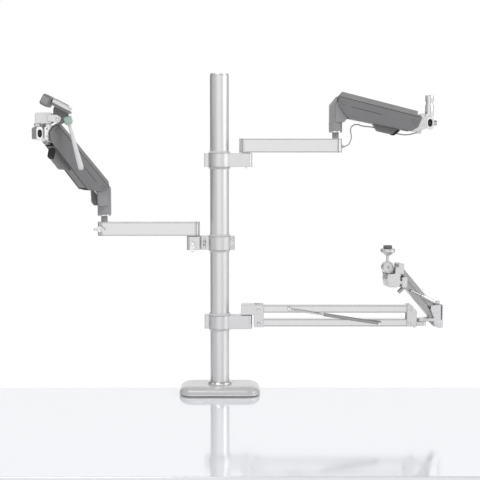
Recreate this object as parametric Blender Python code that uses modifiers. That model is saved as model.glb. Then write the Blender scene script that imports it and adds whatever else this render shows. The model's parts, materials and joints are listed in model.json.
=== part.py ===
# Desk camera stand: a clamped base, a 35 mm pole and three arms on split collars.
# The light arm points right, the camera arm left and towards the viewer, the microphone arm right and back.
# Metres, +Z up, +X to the right, front at -Y. The origin lies on the desk under the pole's axis.
from math import atan2, cos, degrees, hypot, pi, radians, sin, tan

import bmesh
import bpy
from mathutils import Matrix, Vector

MM = 0.001
GAP = 0.3 * MM              # between two pieces that lie against each other
PLAY = 0.3 * MM             # radial play of a pin in its hole
SIDES = 32                  # sides of a large round piece
PIN_SIDES = 16              # sides of a small round piece
REACH = 200 * MM            # a cutter's length beyond what it cuts

# Base and pole
BASE_WIDTH = 150 * MM
BASE_DEPTH = 83 * MM
BASE_BACK = 43 * MM         # rear edge of the base behind the pole's axis
BASE_CORNER = 24 * MM
BASE_THICK = 16 * MM
BASE_CROWN = 9 * MM         # rounding of the upper edge
BASE_HEM = 1.2 * MM         # rounding of the lower edge
PAD_THICK = 1.5 * MM
PAD_INSET = 7 * MM
RING_RADIUS = 21.6 * MM
RING_HEIGHT = 6 * MM
POLE_RADIUS = 17.5 * MM
POLE_WALL = 2.2 * MM
POLE_LENGTH = 582 * MM
POLE_SINK = 9 * MM          # depth of the pole's seat in the base
CAP_THICK = 3 * MM
CAP_PLUG = 9 * MM

# Desk clamp
DESK_THICK = 25 * MM        # the desk that the clamp is drawn closed on
STEEL = 4.5 * MM            # thickness of the clamp's bent plate
CLAMP_WIDTH = 58 * MM
FLANGE_REACH = 31 * MM      # of the plate under the base, from its rear edge
JAW_DROP = 76 * MM          # of the jaw's upper face below the desk's surface
JAW_REACH = 56 * MM
CLAMP_SCREW_RADIUS = 5 * MM
CLAMP_SCREW_LENGTH = 92 * MM
CLAMP_BOSS_RADIUS = 10 * MM
CLAMP_BOSS_DROP = 10 * MM
DISC_RADIUS = 17 * MM       # the pressure pad
DISC_THICK = 6 * MM
DISC_HUB_RADIUS = 8.5 * MM
DISC_HUB_DROP = 8 * MM
CROSS_RADIUS = 3 * MM       # the screw's cross handle
CROSS_LENGTH = 66 * MM
CROSS_HEAD_RADIUS = 8 * MM
CROSS_HEAD_HEIGHT = 14 * MM

# Split collars
COLLAR_HEIGHT = 25 * MM
SLEEVE_WALL = 1.1 * MM
BAND_WALL = 2 * MM
LIP_HEIGHT = 3.7 * MM
LIP_FLARE = 1.6 * MM        # of the lip beyond the sleeve's wall
PIVOT_X = 49.5 * MM         # from the pole's axis to the arm's pivot
BLOCK_TAIL = 11 * MM        # of the block past the pivot
BLOCK_HALF = 13 * MM
LUG_REACH = 28 * MM         # lug opposite the block
CAP_LUG_REACH = 34.5 * MM   # cap's lug beside the block
LUG_HALF = 7.5 * MM
SPLIT = 0.4 * MM            # half the slit between the collar's halves
SCREW_HEAD_RADIUS = 2.6 * MM
SCREW_HEAD_HEIGHT = 2.3 * MM
SCREW_RISE = 7 * MM         # of the lug screws above and below the middle
PIVOT_PIN_RADIUS = 5 * MM
WASHER_RADIUS = 8.3 * MM
WASHER = 1 * MM
LIGHT_COLLAR_Z = 436.6 * MM
CAMERA_COLLAR_Z = 283.5 * MM
MIC_COLLAR_Z = 135.8 * MM

# Beams and their wing knobs
BEAM_HEIGHT = 25.4 * MM
BEAM_HALF = 13 * MM
BEAM_REACH = 164 * MM       # pivot to riser
BEAM_TAIL = 12.8 * MM
BEAM_NOSE = 11.5 * MM
BEAM_ROUND = 9 * MM
POST_RADIUS = 6 * MM
POST_DEPTH = 21 * MM
PINCH_X = 7 * MM            # pinch screw past the riser's post
KNOB_DROP = 6.5 * MM        # wing knob below the middle of the pivot block
KNOB_SHAFT_RADIUS = 2 * MM
KNOB_BOSS_RADIUS = 4.5 * MM
KNOB_BOSS_HEIGHT = 5.5 * MM
WING_SPAN = 15 * MM
WING_THICK = 3.4 * MM
WING_HEIGHT = 9 * MM

# Gas arms, side view: x along the arm, z across it, zero on the pivot at the riser
ARM_LENGTH = 135 * MM       # pivot to pivot
ARM_HALF = 18 * MM
ARM_WALL = 2.4 * MM
ARM_TOP = 18.6 * MM
ARM_CHAMFER = 10 * MM
ARM_BOTTOM = 20.4 * MM       # lower edge of the shell's sides
RISER_X = 12 * MM           # arm pivot in front of the riser's post
RISER_Z = 66 * MM           # arm pivot above the beam
SPINE_BACK = 11.9 * MM
SPINE_FRONT = 1.4 * MM
SPINE_HALF = 11.4 * MM
SPINE_ROUND = 6.1 * MM        # cut corners of the riser's back
SPINE_FOOT = 14 * MM        # underside of the riser above the beam
SPINE_SLOPE = 51            # degrees, just past the arm's steepest tilt
SPINE_CHAMFER = 4.4 * MM
SOCKET_RADIUS = 12.3 * MM   # riser's round foot
SOCKET_TOP = 38 * MM
RISER_FLANGE_RADIUS = 9.6 * MM
RISER_FLANGE = 3 * MM
LUG_IN = 9.8 * MM
LUG_OUT = 13.4 * MM
TRUNNION_RADIUS = 4 * MM
LINK_DROP = 14 * MM         # levelling link's pivots below the arm's
LINK_HALF = 4.2 * MM
LINK_END = 5 * MM
LINK_Y = (5 * MM, 9.2 * MM)
LINK_PIN_RADIUS = 3 * MM
GAS_DROP = 10 * MM          # gas spring's anchor below the arm's pivot
GAS_AXIS_Z = -8.5 * MM
GAS_AXIS_Y = -2.3 * MM
GAS_RADIUS = 6.3 * MM
GAS_FROM = 34 * MM
GAS_TO = 112 * MM
GAS_ROD_RADIUS = 3 * MM
GAS_PIN_RADIUS = 2.5 * MM
COVER_FROM = 21 * MM
COVER_BACK = 17 * MM        # the cover ends this far before the knuckle's pivot
COVER_TO = ARM_LENGTH - COVER_BACK
COVER_THICK = 1.5 * MM
COVER_HALF = 12.5 * MM
COVER_REAR = (17.3 * MM, -26.1 * MM)    # two points of the cover's lower line
COVER_FRONT = (ARM_LENGTH - 3 * MM, -20.3 * MM)
BULGE_HALF = 9 * MM
BULGE_BACK = (56 * MM, 43 * MM, 14 * MM, 5 * MM)    # its corners, back from the cover's end
BULGE_X = tuple(COVER_TO - back for back in BULGE_BACK)
BULGE_LOW = -35.1 * MM
CABLE_MOUTH_X = 84 * MM     # where the lead enters the bulge's open half
LIGHT_TILT = -14.3          # degrees above level at rest
CAMERA_TILT = 47.4
CAMERA_SWIVEL = 38          # degrees towards the viewer

# Knuckle and socket, level at every tilt
KNUCKLE_FRONT = 22.4 * MM
KNUCKLE_HALF_HEIGHT = 13 * MM
BLOCK_LENGTH = 13.6 * MM    # socket block along the arm
BLOCK_TOP = 8 * MM
BLOCK_DROP = 16 * MM
SOCKET_HALF = 9 * MM
BORE_WIDTH = 8 * MM
BORE_HEIGHT = 14 * MM
SPIGOT_RADIUS = 7.95 * MM   # the 16 mm stud that lamps fit
SPIGOT_HEIGHT = 38 * MM
SPIGOT_WAIST = 6.5 * MM

# Camera head
PAN_HEIGHT = 19 * MM
HEAD_PIVOT = (38 * MM, 8 * MM)
HEAD_PIN_RADIUS = 2.5 * MM
HEAD_TILT = 28              # degrees down to the right
HEAD_SHIFT = -5 * MM        # of the tilt head towards the viewer
BED_TOP = 21 * MM
JAW_X = (-40 * MM, -23 * MM)
JAW_HALF = 15 * MM
PLATE_X = (-22.6 * MM, 12 * MM)
GRIP_AT = (18.2 * MM, 3 * MM, 3 * MM)   # root of the handle on the tilt head
GRIP_LEAN = 165.6           # degrees from up, in the world
HANDLE_LENGTH = 86 * MM

# Microphone arm
MIC_PITCH = 26 * MM         # between the upper and the lower bar
MIC_BAR_LENGTH = 282 * MM   # pivot to pivot
MIC_BAR_HEIGHT = 14 * MM
MIC_BAR_HALF = 7 * MM
MIC_PIVOT_X = 23.5 * MM     # first bar pivots past the bracket's swivel
MIC_PIVOT_Z = 134 * MM      # lower bar's height above the desk
CHEEK_IN = 7.4 * MM
CHEEK_OUT = 11.4 * MM
BRACKET_TOP = 168.5 * MM
BRACKET_FOOT = 126.5 * MM
MIC_PIN_RADIUS = 2.6 * MM
STRUT_FRONT_X = 57 * MM     # strut's pin on the upper bar, past its first pivot
STRUT_REAR_X = 224 * MM     # strut's pin on the lower bar
STRUT_RADIUS = 3.2 * MM
STRUT_ROD_RADIUS = 1.9 * MM
STRUT_TUBE = 0.62           # share of the strut that is tube
STRUT_ROD_LENGTH = 96 * MM
STRUT_EYE_RADIUS = 4 * MM
ELBOW_SWIVEL = 22 * MM      # yoke's swivel past the bars' last pivots
TONGUE_THICK = 7.5 * MM
FORE_SWIVEL = 18            # degrees towards the viewer, folded back
FORE_TILT = 48
FORE_LENGTH = 100 * MM
FORE_UPPER = (-19.5 * MM, 163 * MM)
FORE_PITCH = (-7.5 * MM, -25.4 * MM)
FORE_BAR_HEIGHT = 9 * MM
FORE_BAR_HALF = 6 * MM
FORE_PIN_RADIUS = 2 * MM
FORE_STRUT_PIN = (-24 * MM, 171 * MM)
FORE_STRUT_PIN_RADIUS = 1.2 * MM
FORE_STRUT_X = 78 * MM      # strut's far end along the lower short bar
ELBOW_WALL = 4.2 * MM
ELBOW_SLANT = 11 * MM       # cut corner that the folded short arm clears
RING_AT = (23.8 * MM, 3 * MM)
RING_HALF = 4.7 * MM
TILT_RING_RADIUS = 11 * MM
STEM_TOP = 24 * MM
FLANGE_RADIUS = 13.5 * MM
FLANGE_HEIGHT = 12.5 * MM
STUD_RADIUS = 3 * MM

# Lead of the light: from the beam's end through the cable cover to the hook under the knuckle
LEAD_RADIUS = 1.15 * MM
LEAD_Z = -30 * MM           # height in the cable cover, across the arm
HOOK_DROP = 23.4 * MM

PARTS = "desk_camera_stand"
CUTTERS = "cutters"


def clear_scene():
    for obj in list(bpy.data.objects):
        bpy.data.objects.remove(obj, do_unlink=True)


def collection(name):
    found = bpy.data.collections.new(name)
    bpy.context.scene.collection.children.link(found)
    return found


def material(name, colour, roughness, metallic):
    made = bpy.data.materials.new(name)
    made.use_nodes = True
    shader = made.node_tree.nodes["Principled BSDF"]
    shader.inputs["Base Color"].default_value = (*colour, 1.0)
    shader.inputs["Roughness"].default_value = roughness
    shader.inputs["Metallic"].default_value = metallic
    made.diffuse_color = (*colour, 1.0)
    return made


def frame(name, parent, at=(0, 0, 0), turn=(0, 0, 0)):
    # An empty on a joint's axis; turn is in degrees.
    empty = bpy.data.objects.new(name, None)
    empty.empty_display_size = 0.01
    empty.parent = parent
    empty.location = at
    empty.rotation_euler = [radians(angle) for angle in turn]
    parts.objects.link(empty)
    return empty


def part(name, mesh, finish, parent, at=(0, 0, 0), turn=(0, 0, 0)):
    mesh.name = name
    obj = bpy.data.objects.new(name, mesh)
    mesh.materials.append(finish)
    mesh.shade_smooth()
    mesh.set_sharp_from_angle(angle=radians(30))
    obj.parent = parent
    obj.location = at
    obj.rotation_euler = [radians(angle) for angle in turn]
    parts.objects.link(obj)
    return obj


def combine(target, mesh, operation, at=(0, 0, 0), turn=(0, 0, 0)):
    tool = bpy.data.objects.new(target.name + "_tool", mesh)
    tool.parent = target.parent
    tool.matrix_basis = target.matrix_basis @ Matrix.Translation(at) @ rotation(turn)
    tool.hide_render = True
    tool.display_type = "WIRE"
    cutters.objects.link(tool)
    boolean = target.modifiers.new(operation.title(), "BOOLEAN")
    boolean.operation = operation
    boolean.solver = "EXACT"
    boolean.object = tool
    return tool


def add(target, mesh, at=(0, 0, 0), turn=(0, 0, 0)):
    return combine(target, mesh, "UNION", at, turn)


def cut(target, mesh, at=(0, 0, 0), turn=(0, 0, 0)):
    return combine(target, mesh, "DIFFERENCE", at, turn)


def rotation(turn):
    x, y, z = (radians(angle) for angle in turn)
    return Matrix.Rotation(z, 4, "Z") @ Matrix.Rotation(y, 4, "Y") @ Matrix.Rotation(x, 4, "X")


def mesh_from(bm, name="piece"):
    bmesh.ops.recalc_face_normals(bm, faces=bm.faces)
    mesh = bpy.data.meshes.new(name)
    bm.to_mesh(mesh)
    bm.free()
    return mesh


def box(x, y, z, rounding=0.0, along=None, segments=3):
    # A box between the limits x, y and z; the edges that run along one axis may be rounded.
    bm = bmesh.new()
    bmesh.ops.create_cube(bm, size=1.0)
    size = Vector((x[1] - x[0], y[1] - y[0], z[1] - z[0]))
    middle = Vector((x[1] + x[0], y[1] + y[0], z[1] + z[0])) / 2
    bmesh.ops.transform(bm, matrix=Matrix.LocRotScale(middle, None, size), verts=bm.verts)
    if rounding:
        def runs(edge):
            way = (edge.verts[1].co - edge.verts[0].co).normalized()
            return along is None or abs(way["XYZ".index(along)]) > 0.9
        edges = [edge for edge in bm.edges if runs(edge)]
        bmesh.ops.bevel(bm, geom=edges, offset=rounding, segments=segments, profile=0.5,
                        affect="EDGES", clamp_overlap=True)
    return mesh_from(bm)


AXES = {
    "X": Matrix.Rotation(pi / 2, 4, "Y"),
    "Y": Matrix.Rotation(-pi / 2, 4, "X"),
    "Z": Matrix.Identity(4),
}


def rod(radius, low, high, along="Z", at=(0, 0, 0), sides=PIN_SIDES, tip=None):
    # A round bar from low to high along an axis through at; tip is the radius at its high end.
    bm = bmesh.new()
    bmesh.ops.create_cone(bm, cap_ends=True, segments=sides, radius1=radius,
                          radius2=radius if tip is None else tip, depth=high - low)
    bmesh.ops.translate(bm, vec=(0, 0, (low + high) / 2), verts=bm.verts)
    bmesh.ops.transform(bm, matrix=Matrix.Translation(at) @ AXES[along], verts=bm.verts)
    return mesh_from(bm)


def turned(profile, closed=False):
    # The edges of a profile (radius, height); spin() turns it about Z.
    count = len(profile)
    bm = bmesh.new()
    points = [bm.verts.new((radius, 0, height)) for radius, height in profile]
    for index in range(count if closed else count - 1):
        bm.edges.new((points[index], points[(index + 1) % count]))
    mesh = bpy.data.meshes.new("profile")
    bm.to_mesh(mesh)
    bm.free()
    return mesh


def spin(obj, sides=SIDES):
    screw = obj.modifiers.new("Screw", "SCREW")
    screw.angle = 2 * pi
    screw.steps = sides
    screw.render_steps = sides
    screw.use_merge_vertices = True
    screw.merge_threshold = 0.00001
    screw.use_smooth_shade = True
    return obj


def rounded(corners, steps=3):
    # Outline points for corners (x, y, radius), with an arc of steps at each rounded one.
    points = []
    count = len(corners)
    for index, (x, y, radius) in enumerate(corners):
        here = Vector((x, y))
        back = (Vector(corners[index - 1][:2]) - here).normalized()
        ahead = (Vector(corners[(index + 1) % count][:2]) - here).normalized()
        if not radius:
            points.append(here)
            continue
        half = back.angle(ahead) / 2
        centre = here + (back + ahead).normalized() * (radius / sin(half))
        start = here + back * (radius / tan(half)) - centre
        sweep = pi - 2 * half
        if back.x * ahead.y - back.y * ahead.x > 0:
            sweep = -sweep
        for step in range(steps + 1):
            turn = Matrix.Rotation(sweep * step / steps, 2)
            points.append(centre + turn @ start)
    return points


def slot(start, end, radius, steps=6):
    # A flat bar's outline with round ends about two points.
    start, end = Vector(start), Vector(end)
    way = (end - start).normalized()
    side = Vector((-way.y, way.x)) * radius
    points = []
    for middle, sign in ((end, -1), (start, 1)):
        for step in range(steps + 1):
            angle = pi * step / steps
            turn = Matrix.Rotation(angle, 2)
            points.append(middle + turn @ (side * sign))
    return points


def plate(points, low, high, upright=False):
    # An outline in x and y made as thick as low to high in z; upright stands it in x and z, thick along y.
    curve = bpy.data.curves.new("outline", "CURVE")
    curve.dimensions = "2D"
    curve.fill_mode = "BOTH"
    curve.extrude = (high - low) / 2
    spline = curve.splines.new("POLY")
    spline.points.add(len(points) - 1)
    for point, (x, y) in zip(spline.points, points):
        point.co = (x, y, 0, 1)
    spline.use_cyclic_u = True
    outline = bpy.data.objects.new("outline", curve)
    bpy.context.scene.collection.objects.link(outline)
    ready = outline.evaluated_get(bpy.context.evaluated_depsgraph_get())
    mesh = bpy.data.meshes.new_from_object(ready)
    placed = Matrix.Translation((0, 0, (low + high) / 2))
    if upright:
        placed = Matrix.Translation((0, (low + high) / 2, 0)) @ Matrix.Rotation(pi / 2, 4, "X")
    bm = bmesh.new()
    bm.from_mesh(mesh)
    bmesh.ops.remove_doubles(bm, verts=bm.verts, dist=0.000001)
    bmesh.ops.transform(bm, matrix=placed @ outline.matrix_world, verts=bm.verts)
    bpy.data.objects.remove(outline, do_unlink=True)
    bpy.data.curves.remove(curve)
    bpy.data.meshes.remove(mesh)
    return mesh_from(bm)


def chamfer(mesh, picked, width):
    # Cuts the edges that picked() chooses back by width.
    bm = bmesh.new()
    bm.from_mesh(mesh)
    edges = [edge for edge in bm.edges if picked(edge.verts[0].co, edge.verts[1].co)]
    bmesh.ops.bevel(bm, geom=edges, offset=width, segments=1, profile=0.5, affect="EDGES")
    return mesh_from(bm)


clear_scene()
parts = collection(PARTS)
cutters = collection(CUTTERS)

SATIN = material("satin_aluminium", (0.60, 0.60, 0.61), 0.38, 0.9)
POLISHED = material("polished_aluminium", (0.72, 0.72, 0.73), 0.25, 1.0)
CAST = material("cast_aluminium", (0.55, 0.55, 0.56), 0.45, 0.8)
GREY = material("grey_casing", (0.12, 0.12, 0.125), 0.5, 0.0)
DARK = material("dark_plastic", (0.03, 0.03, 0.03), 0.6, 0.0)
SLEEVE = material("sleeve_plastic", (0.42, 0.42, 0.42), 0.5, 0.0)
STEEL_FINISH = material("bright_steel", (0.55, 0.55, 0.56), 0.3, 1.0)
LEAD_FINISH = material("lead_grey", (0.35, 0.35, 0.36), 0.5, 0.0)
HANDLE_FINISH = material("handle_white", (0.75, 0.75, 0.75), 0.35, 0.0)

BASE_BOTTOM = PAD_THICK + GAP
BASE_TOP = BASE_BOTTOM + BASE_THICK
BASE_FRONT = BASE_BACK - BASE_DEPTH
POLE_FOOT = BASE_TOP - POLE_SINK
POLE_TOP = POLE_FOOT + POLE_LENGTH
SLEEVE_IN = POLE_RADIUS + PLAY
SLEEVE_OUT = SLEEVE_IN + SLEEVE_WALL
BAND_IN = SLEEVE_OUT + PLAY
BAND_OUT = BAND_IN + BAND_WALL
CLAMP_SCREW_Y = BASE_BACK - STEEL - 30 * MM


def build_base():
    root = frame("stand", None)
    crown = box((-BASE_WIDTH / 2, BASE_WIDTH / 2), (BASE_FRONT, BASE_BACK), (BASE_BOTTOM, BASE_TOP),
                BASE_CORNER, "Z", segments=6)
    bm = bmesh.new()
    bm.from_mesh(crown)
    middle = (BASE_BOTTOM + BASE_TOP) / 2

    def rim(edge, upper):
        first, second = edge.verts[0].co, edge.verts[1].co
        level = abs(first.z - second.z) < 0.0001
        return level and ((first.z > middle) == upper)

    bmesh.ops.bevel(bm, geom=[edge for edge in bm.edges if rim(edge, True)], offset=BASE_CROWN,
                    segments=4, profile=0.5, affect="EDGES")
    bmesh.ops.bevel(bm, geom=[edge for edge in bm.edges if rim(edge, False) and edge.is_valid
                              and abs(edge.verts[0].co.z - BASE_BOTTOM) < 0.0001],
                    offset=BASE_HEM, segments=1, profile=0.5, affect="EDGES")
    base = part("base_plate", mesh_from(bm), SATIN, root)
    ring_in = POLE_RADIUS + PLAY
    bead = [(0, BASE_TOP + RING_HEIGHT)]
    for step in range(7):
        angle = pi / 2 - pi * step / 7
        bead.append((RING_RADIUS - RING_HEIGHT / 2 + RING_HEIGHT / 2 * cos(angle),
                     BASE_TOP + RING_HEIGHT / 2 + RING_HEIGHT / 2 * sin(angle)))
    bead += [(RING_RADIUS - 1 * MM, BASE_TOP - 1 * MM), (0, BASE_TOP - 1 * MM)]
    spin(add(base, turned(bead)))
    cut(base, rod(ring_in, POLE_FOOT - GAP, BASE_TOP + REACH, sides=SIDES))
    cut(base, box((-CLAMP_WIDTH / 2 - GAP, CLAMP_WIDTH / 2 + GAP),
                  (BASE_BACK - FLANGE_REACH - GAP, BASE_BACK + REACH),
                  (BASE_BOTTOM - REACH, BASE_BOTTOM + STEEL + 2 * GAP)))
    part("base_pad", box((-BASE_WIDTH / 2 + PAD_INSET, BASE_WIDTH / 2 - PAD_INSET),
                         (BASE_FRONT + PAD_INSET, BASE_BACK - FLANGE_REACH - 3 * GAP), (0, PAD_THICK),
                         BASE_CORNER - PAD_INSET, "Z", segments=4), DARK, root)
    pole = part("pole", rod(POLE_RADIUS, POLE_FOOT, POLE_TOP, sides=SIDES), SATIN, root)
    cut(pole, rod(POLE_RADIUS - POLE_WALL, POLE_FOOT - REACH, POLE_TOP + REACH, sides=SIDES))
    cap = part("pole_cap", rod(POLE_RADIUS, POLE_TOP + GAP, POLE_TOP + GAP + CAP_THICK, sides=SIDES,
                               tip=POLE_RADIUS - 0.8 * MM), SATIN, root)
    add(cap, rod(POLE_RADIUS - POLE_WALL - PLAY, POLE_TOP - CAP_PLUG, POLE_TOP + 2 * GAP, sides=SIDES))
    return root


def build_clamp(root):
    low = -JAW_DROP
    seat = BASE_BOTTOM + GAP
    corners = [
        (BASE_BACK - FLANGE_REACH, seat), (BASE_BACK - FLANGE_REACH, seat + STEEL), (BASE_BACK, seat + STEEL),
        (BASE_BACK, low - STEEL), (BASE_BACK - JAW_REACH, low - STEEL), (BASE_BACK - JAW_REACH, low),
        (BASE_BACK - STEEL, low), (BASE_BACK - STEEL, seat),
    ]
    # The outline's x is the depth, so the bracket is turned to face along X.
    bracket = part("clamp_bracket", plate([Vector(c) for c in corners], -CLAMP_WIDTH / 2, CLAMP_WIDTH / 2,
                                          upright=True), SATIN, root, turn=(0, 0, 90))
    add(bracket, rod(CLAMP_BOSS_RADIUS, low - STEEL - CLAMP_BOSS_DROP, low - STEEL / 2,
                     at=(CLAMP_SCREW_Y, 0, 0), sides=24))
    cut(bracket, rod(CLAMP_SCREW_RADIUS + PLAY, low - REACH, low + REACH / 4, at=(CLAMP_SCREW_Y, 0, 0)))
    for x in (-18 * MM, 18 * MM):
        add(bracket, rod(4 * MM, seat - 0.2 * MM, seat + STEEL / 2, at=(BASE_BACK - FLANGE_REACH / 2, x, 0)))
    # The screw and its pressure disc rise and fall; the cross handle turns on the screw's lower end.
    slide = frame("clamp_slide", root, at=(0, CLAMP_SCREW_Y, -DESK_THICK - GAP))
    end = -DISC_THICK - CLAMP_SCREW_LENGTH
    head_low = end - CROSS_HEAD_HEIGHT
    screw = part("clamp_screw", rod(DISC_RADIUS, -DISC_THICK, 0, sides=24), STEEL_FINISH, slide)
    add(screw, rod(DISC_HUB_RADIUS, -DISC_THICK - DISC_HUB_DROP, -DISC_THICK / 2, sides=24))
    add(screw, rod(CLAMP_SCREW_RADIUS, head_low + CROSS_HEAD_HEIGHT / 2 + CROSS_RADIUS + GAP, -DISC_THICK))
    handle = part("clamp_handle", rod(CROSS_HEAD_RADIUS, head_low, end + 1 * MM, sides=24), STEEL_FINISH,
                  frame("clamp_turn", slide))
    cut(handle, rod(CLAMP_SCREW_RADIUS + PLAY, head_low + CROSS_HEAD_HEIGHT / 2 + CROSS_RADIUS, REACH))
    add(handle, rod(CROSS_RADIUS, -CROSS_LENGTH / 2, CROSS_LENGTH / 2, "X",
                    at=(0, 0, head_low + CROSS_HEAD_HEIGHT / 2)))


def build_collar(name, root, height, turn):
    # Sleeve and split collar. The cap's screws face local +Y.
    slide = frame(name + "_slide", root, at=(0, 0, height))
    half = COLLAR_HEIGHT / 2
    lip = half + GAP
    tip = SLEEVE_OUT - 0.4 * MM
    profile = [(SLEEVE_IN, lip + LIP_HEIGHT), (tip, lip + LIP_HEIGHT), (SLEEVE_OUT + LIP_FLARE, lip),
               (SLEEVE_OUT, lip), (SLEEVE_OUT, -lip), (SLEEVE_OUT + LIP_FLARE, -lip),
               (tip, -lip - LIP_HEIGHT), (SLEEVE_IN, -lip - LIP_HEIGHT)]
    spin(part(name + "_sleeve", turned(profile, closed=True), SLEEVE, slide))
    collar = frame(name + "_turn", slide, turn=(0, 0, turn))
    block_end = PIVOT_X + BLOCK_TAIL
    clamp = part(name + "_collar", rod(BAND_OUT, -half, half, sides=SIDES), CAST, collar)
    add(clamp, box((0, block_end), (-BLOCK_HALF, BLOCK_HALF), (-half, half), 7 * MM, "Z", segments=4))
    add(clamp, box((-LUG_REACH, 0), (-LUG_HALF, 0), (-half, half), 1.5 * MM, "Z", segments=2))
    cut(clamp, rod(BAND_IN, -REACH, REACH, sides=SIDES))
    cut(clamp, box((-REACH, CAP_LUG_REACH + 1.8 * MM), (-SPLIT, REACH), (-REACH, REACH)))
    cut(clamp, rod(PIVOT_PIN_RADIUS + PLAY, -REACH, REACH, at=(PIVOT_X, 0, 0)))
    cap = part(name + "_collar_cap", rod(BAND_OUT, -half, half, sides=SIDES), CAST, collar)
    add(cap, box((-LUG_REACH, CAP_LUG_REACH), (0, LUG_HALF), (-half, half), 1.5 * MM, "Z", segments=2))
    cut(cap, rod(BAND_IN, -REACH, REACH, sides=SIDES))
    cut(cap, box((-REACH, REACH), (-REACH, SPLIT), (-REACH, REACH)))
    edge = BAND_OUT + SCREW_HEAD_RADIUS + 0.8 * MM
    for x in (-edge, (BAND_OUT + CAP_LUG_REACH) / 2):
        for z in (-SCREW_RISE, SCREW_RISE):
            add(cap, rod(SCREW_HEAD_RADIUS, LUG_HALF - 1 * MM, LUG_HALF + SCREW_HEAD_HEIGHT, "Y", at=(x, 0, z),
                         sides=12))
    return collar, clamp


def wing_knob(name, parent, at, turn, shaft):
    # A wing screw: its own z points out of the face it is screwed into, z = 0 on that face.
    knob = part(name, rod(KNOB_BOSS_RADIUS, GAP, KNOB_BOSS_HEIGHT), CAST, parent, at, turn)
    add(knob, rod(KNOB_SHAFT_RADIUS, -shaft, 2 * GAP, sides=12))
    add(knob, box((-WING_SPAN / 2, WING_SPAN / 2), (-WING_THICK / 2, WING_THICK / 2),
                  (KNOB_BOSS_HEIGHT - 1.5 * MM, KNOB_BOSS_HEIGHT + WING_HEIGHT), 3 * MM, "Y", segments=2))
    return knob


def build_beam(name, collar, clamp):
    # The level beam turns on the collar's pivot block and carries the riser at its far end.
    block_face = BLOCK_HALF
    shaft = block_face - PIVOT_PIN_RADIUS - 2 * GAP
    wing_knob(name + "_pivot_knob", collar, (PIVOT_X, block_face, -KNOB_DROP), (-90, 90, 0), shaft)
    cut(clamp, rod(KNOB_SHAFT_RADIUS + PLAY, PIVOT_PIN_RADIUS, block_face + REACH, "Y",
                   at=(PIVOT_X, 0, -KNOB_DROP), sides=12))
    foot = COLLAR_HEIGHT / 2 + GAP + WASHER
    swing = frame(name + "_swing", collar, at=(PIVOT_X, 0, foot))
    beam = part(name + "_beam", box((-BEAM_TAIL, BEAM_REACH + BEAM_NOSE), (-BEAM_HALF, BEAM_HALF),
                                    (0, BEAM_HEIGHT), BEAM_ROUND, "Z", segments=4), SATIN, swing)
    add(beam, rod(WASHER_RADIUS, -WASHER, 1 * MM, sides=24))
    add(beam, rod(PIVOT_PIN_RADIUS, -foot - COLLAR_HEIGHT / 2 + 2 * MM, 2 * MM))
    cut(beam, rod(POST_RADIUS + PLAY, BEAM_HEIGHT - POST_DEPTH - 2 * GAP, BEAM_HEIGHT + REACH,
                  at=(BEAM_REACH, 0, 0), sides=24))
    pinch = (BEAM_REACH + PINCH_X, BEAM_HALF, BEAM_HEIGHT / 2)
    cut(beam, rod(KNOB_SHAFT_RADIUS + PLAY, BEAM_HALF - 7 * MM, BEAM_HALF + REACH, "Y",
                  at=(pinch[0], 0, pinch[2]), sides=12))
    wing_knob(name + "_beam_knob", swing, pinch, (-90, 0, 0), 6.4 * MM)
    return swing, beam


def riser_outline():
    slope = radians(SPINE_SLOPE)
    inside = ARM_TOP - ARM_WALL - 0.8 * MM

    def top(x):
        return RISER_Z + (inside + sin(slope) * (x - RISER_X)) / cos(slope)

    return [Vector((-SPINE_BACK, SPINE_FOOT)), Vector((SPINE_FRONT, SPINE_FOOT)),
            Vector((SPINE_FRONT, top(SPINE_FRONT))), Vector((-SPINE_BACK, top(-SPINE_BACK)))]


def build_riser(name, swing, swivel):
    # Riser: a flat spine, a round foot on the post and two lugs that carry the arm.
    base = frame(name + "_swivel", swing, at=(BEAM_REACH, 0, BEAM_HEIGHT), turn=(0, 0, swivel))
    outline = riser_outline()

    def slanted(first, second):
        high = min(first.z, second.z) > outline[3].y - 0.0001
        return high and abs(first.y - second.y) < 0.0001

    def back_corner(first, second):
        return max(first.x, second.x) < -SPINE_BACK + 0.0001 and abs(first.y - second.y) < 0.0001

    block = plate(outline, -SPINE_HALF, SPINE_HALF, upright=True)
    spine = chamfer(chamfer(block, back_corner, SPINE_ROUND), slanted, SPINE_CHAMFER)
    riser = part(name + "_riser", spine, GREY, base)
    add(riser, rod(SOCKET_RADIUS, SPINE_FOOT - 0.5 * MM, SOCKET_TOP, sides=24))
    add(riser, rod(RISER_FLANGE_RADIUS, SPINE_FOOT - RISER_FLANGE, SPINE_FOOT + 1 * MM, sides=24))
    add(riser, rod(POST_RADIUS, -POST_DEPTH, SPINE_FOOT + 2 * MM, sides=24))
    ear = [(-1.6 * MM, 30 * MM, 0), (15 * MM, 30 * MM, 2 * MM), (20 * MM, 37 * MM, 2 * MM),
           (RISER_X + 9 * MM, RISER_Z, 0), (RISER_X + 6.4 * MM, RISER_Z + 6.4 * MM, 3 * MM),
           (RISER_X, RISER_Z + 9 * MM, 2 * MM), (-1.6 * MM, RISER_Z - 3.7 * MM, 0)]
    for side in (-1, 1):
        near, far = sorted((side * LUG_IN, side * LUG_OUT))
        add(riser, plate(rounded(ear, 2), near, far, upright=True))
        near, far = sorted((side * (LUG_OUT - 1 * MM), side * (ARM_HALF - 0.4 * MM)))
        add(riser, rod(TRUNNION_RADIUS, near, far, "Y", at=(RISER_X, 0, RISER_Z)))
    add(riser, rod(LINK_PIN_RADIUS, LINK_Y[0], LUG_IN + 1 * MM, "Y",
                   at=(RISER_X, 0, RISER_Z - LINK_DROP), sides=12))
    add(riser, rod(GAS_PIN_RADIUS, -LUG_IN - 1 * MM, GAS_AXIS_Y + GAS_ROD_RADIUS, "Y",
                   at=(RISER_X, 0, RISER_Z - GAS_DROP), sides=12))
    return base, riser


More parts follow.
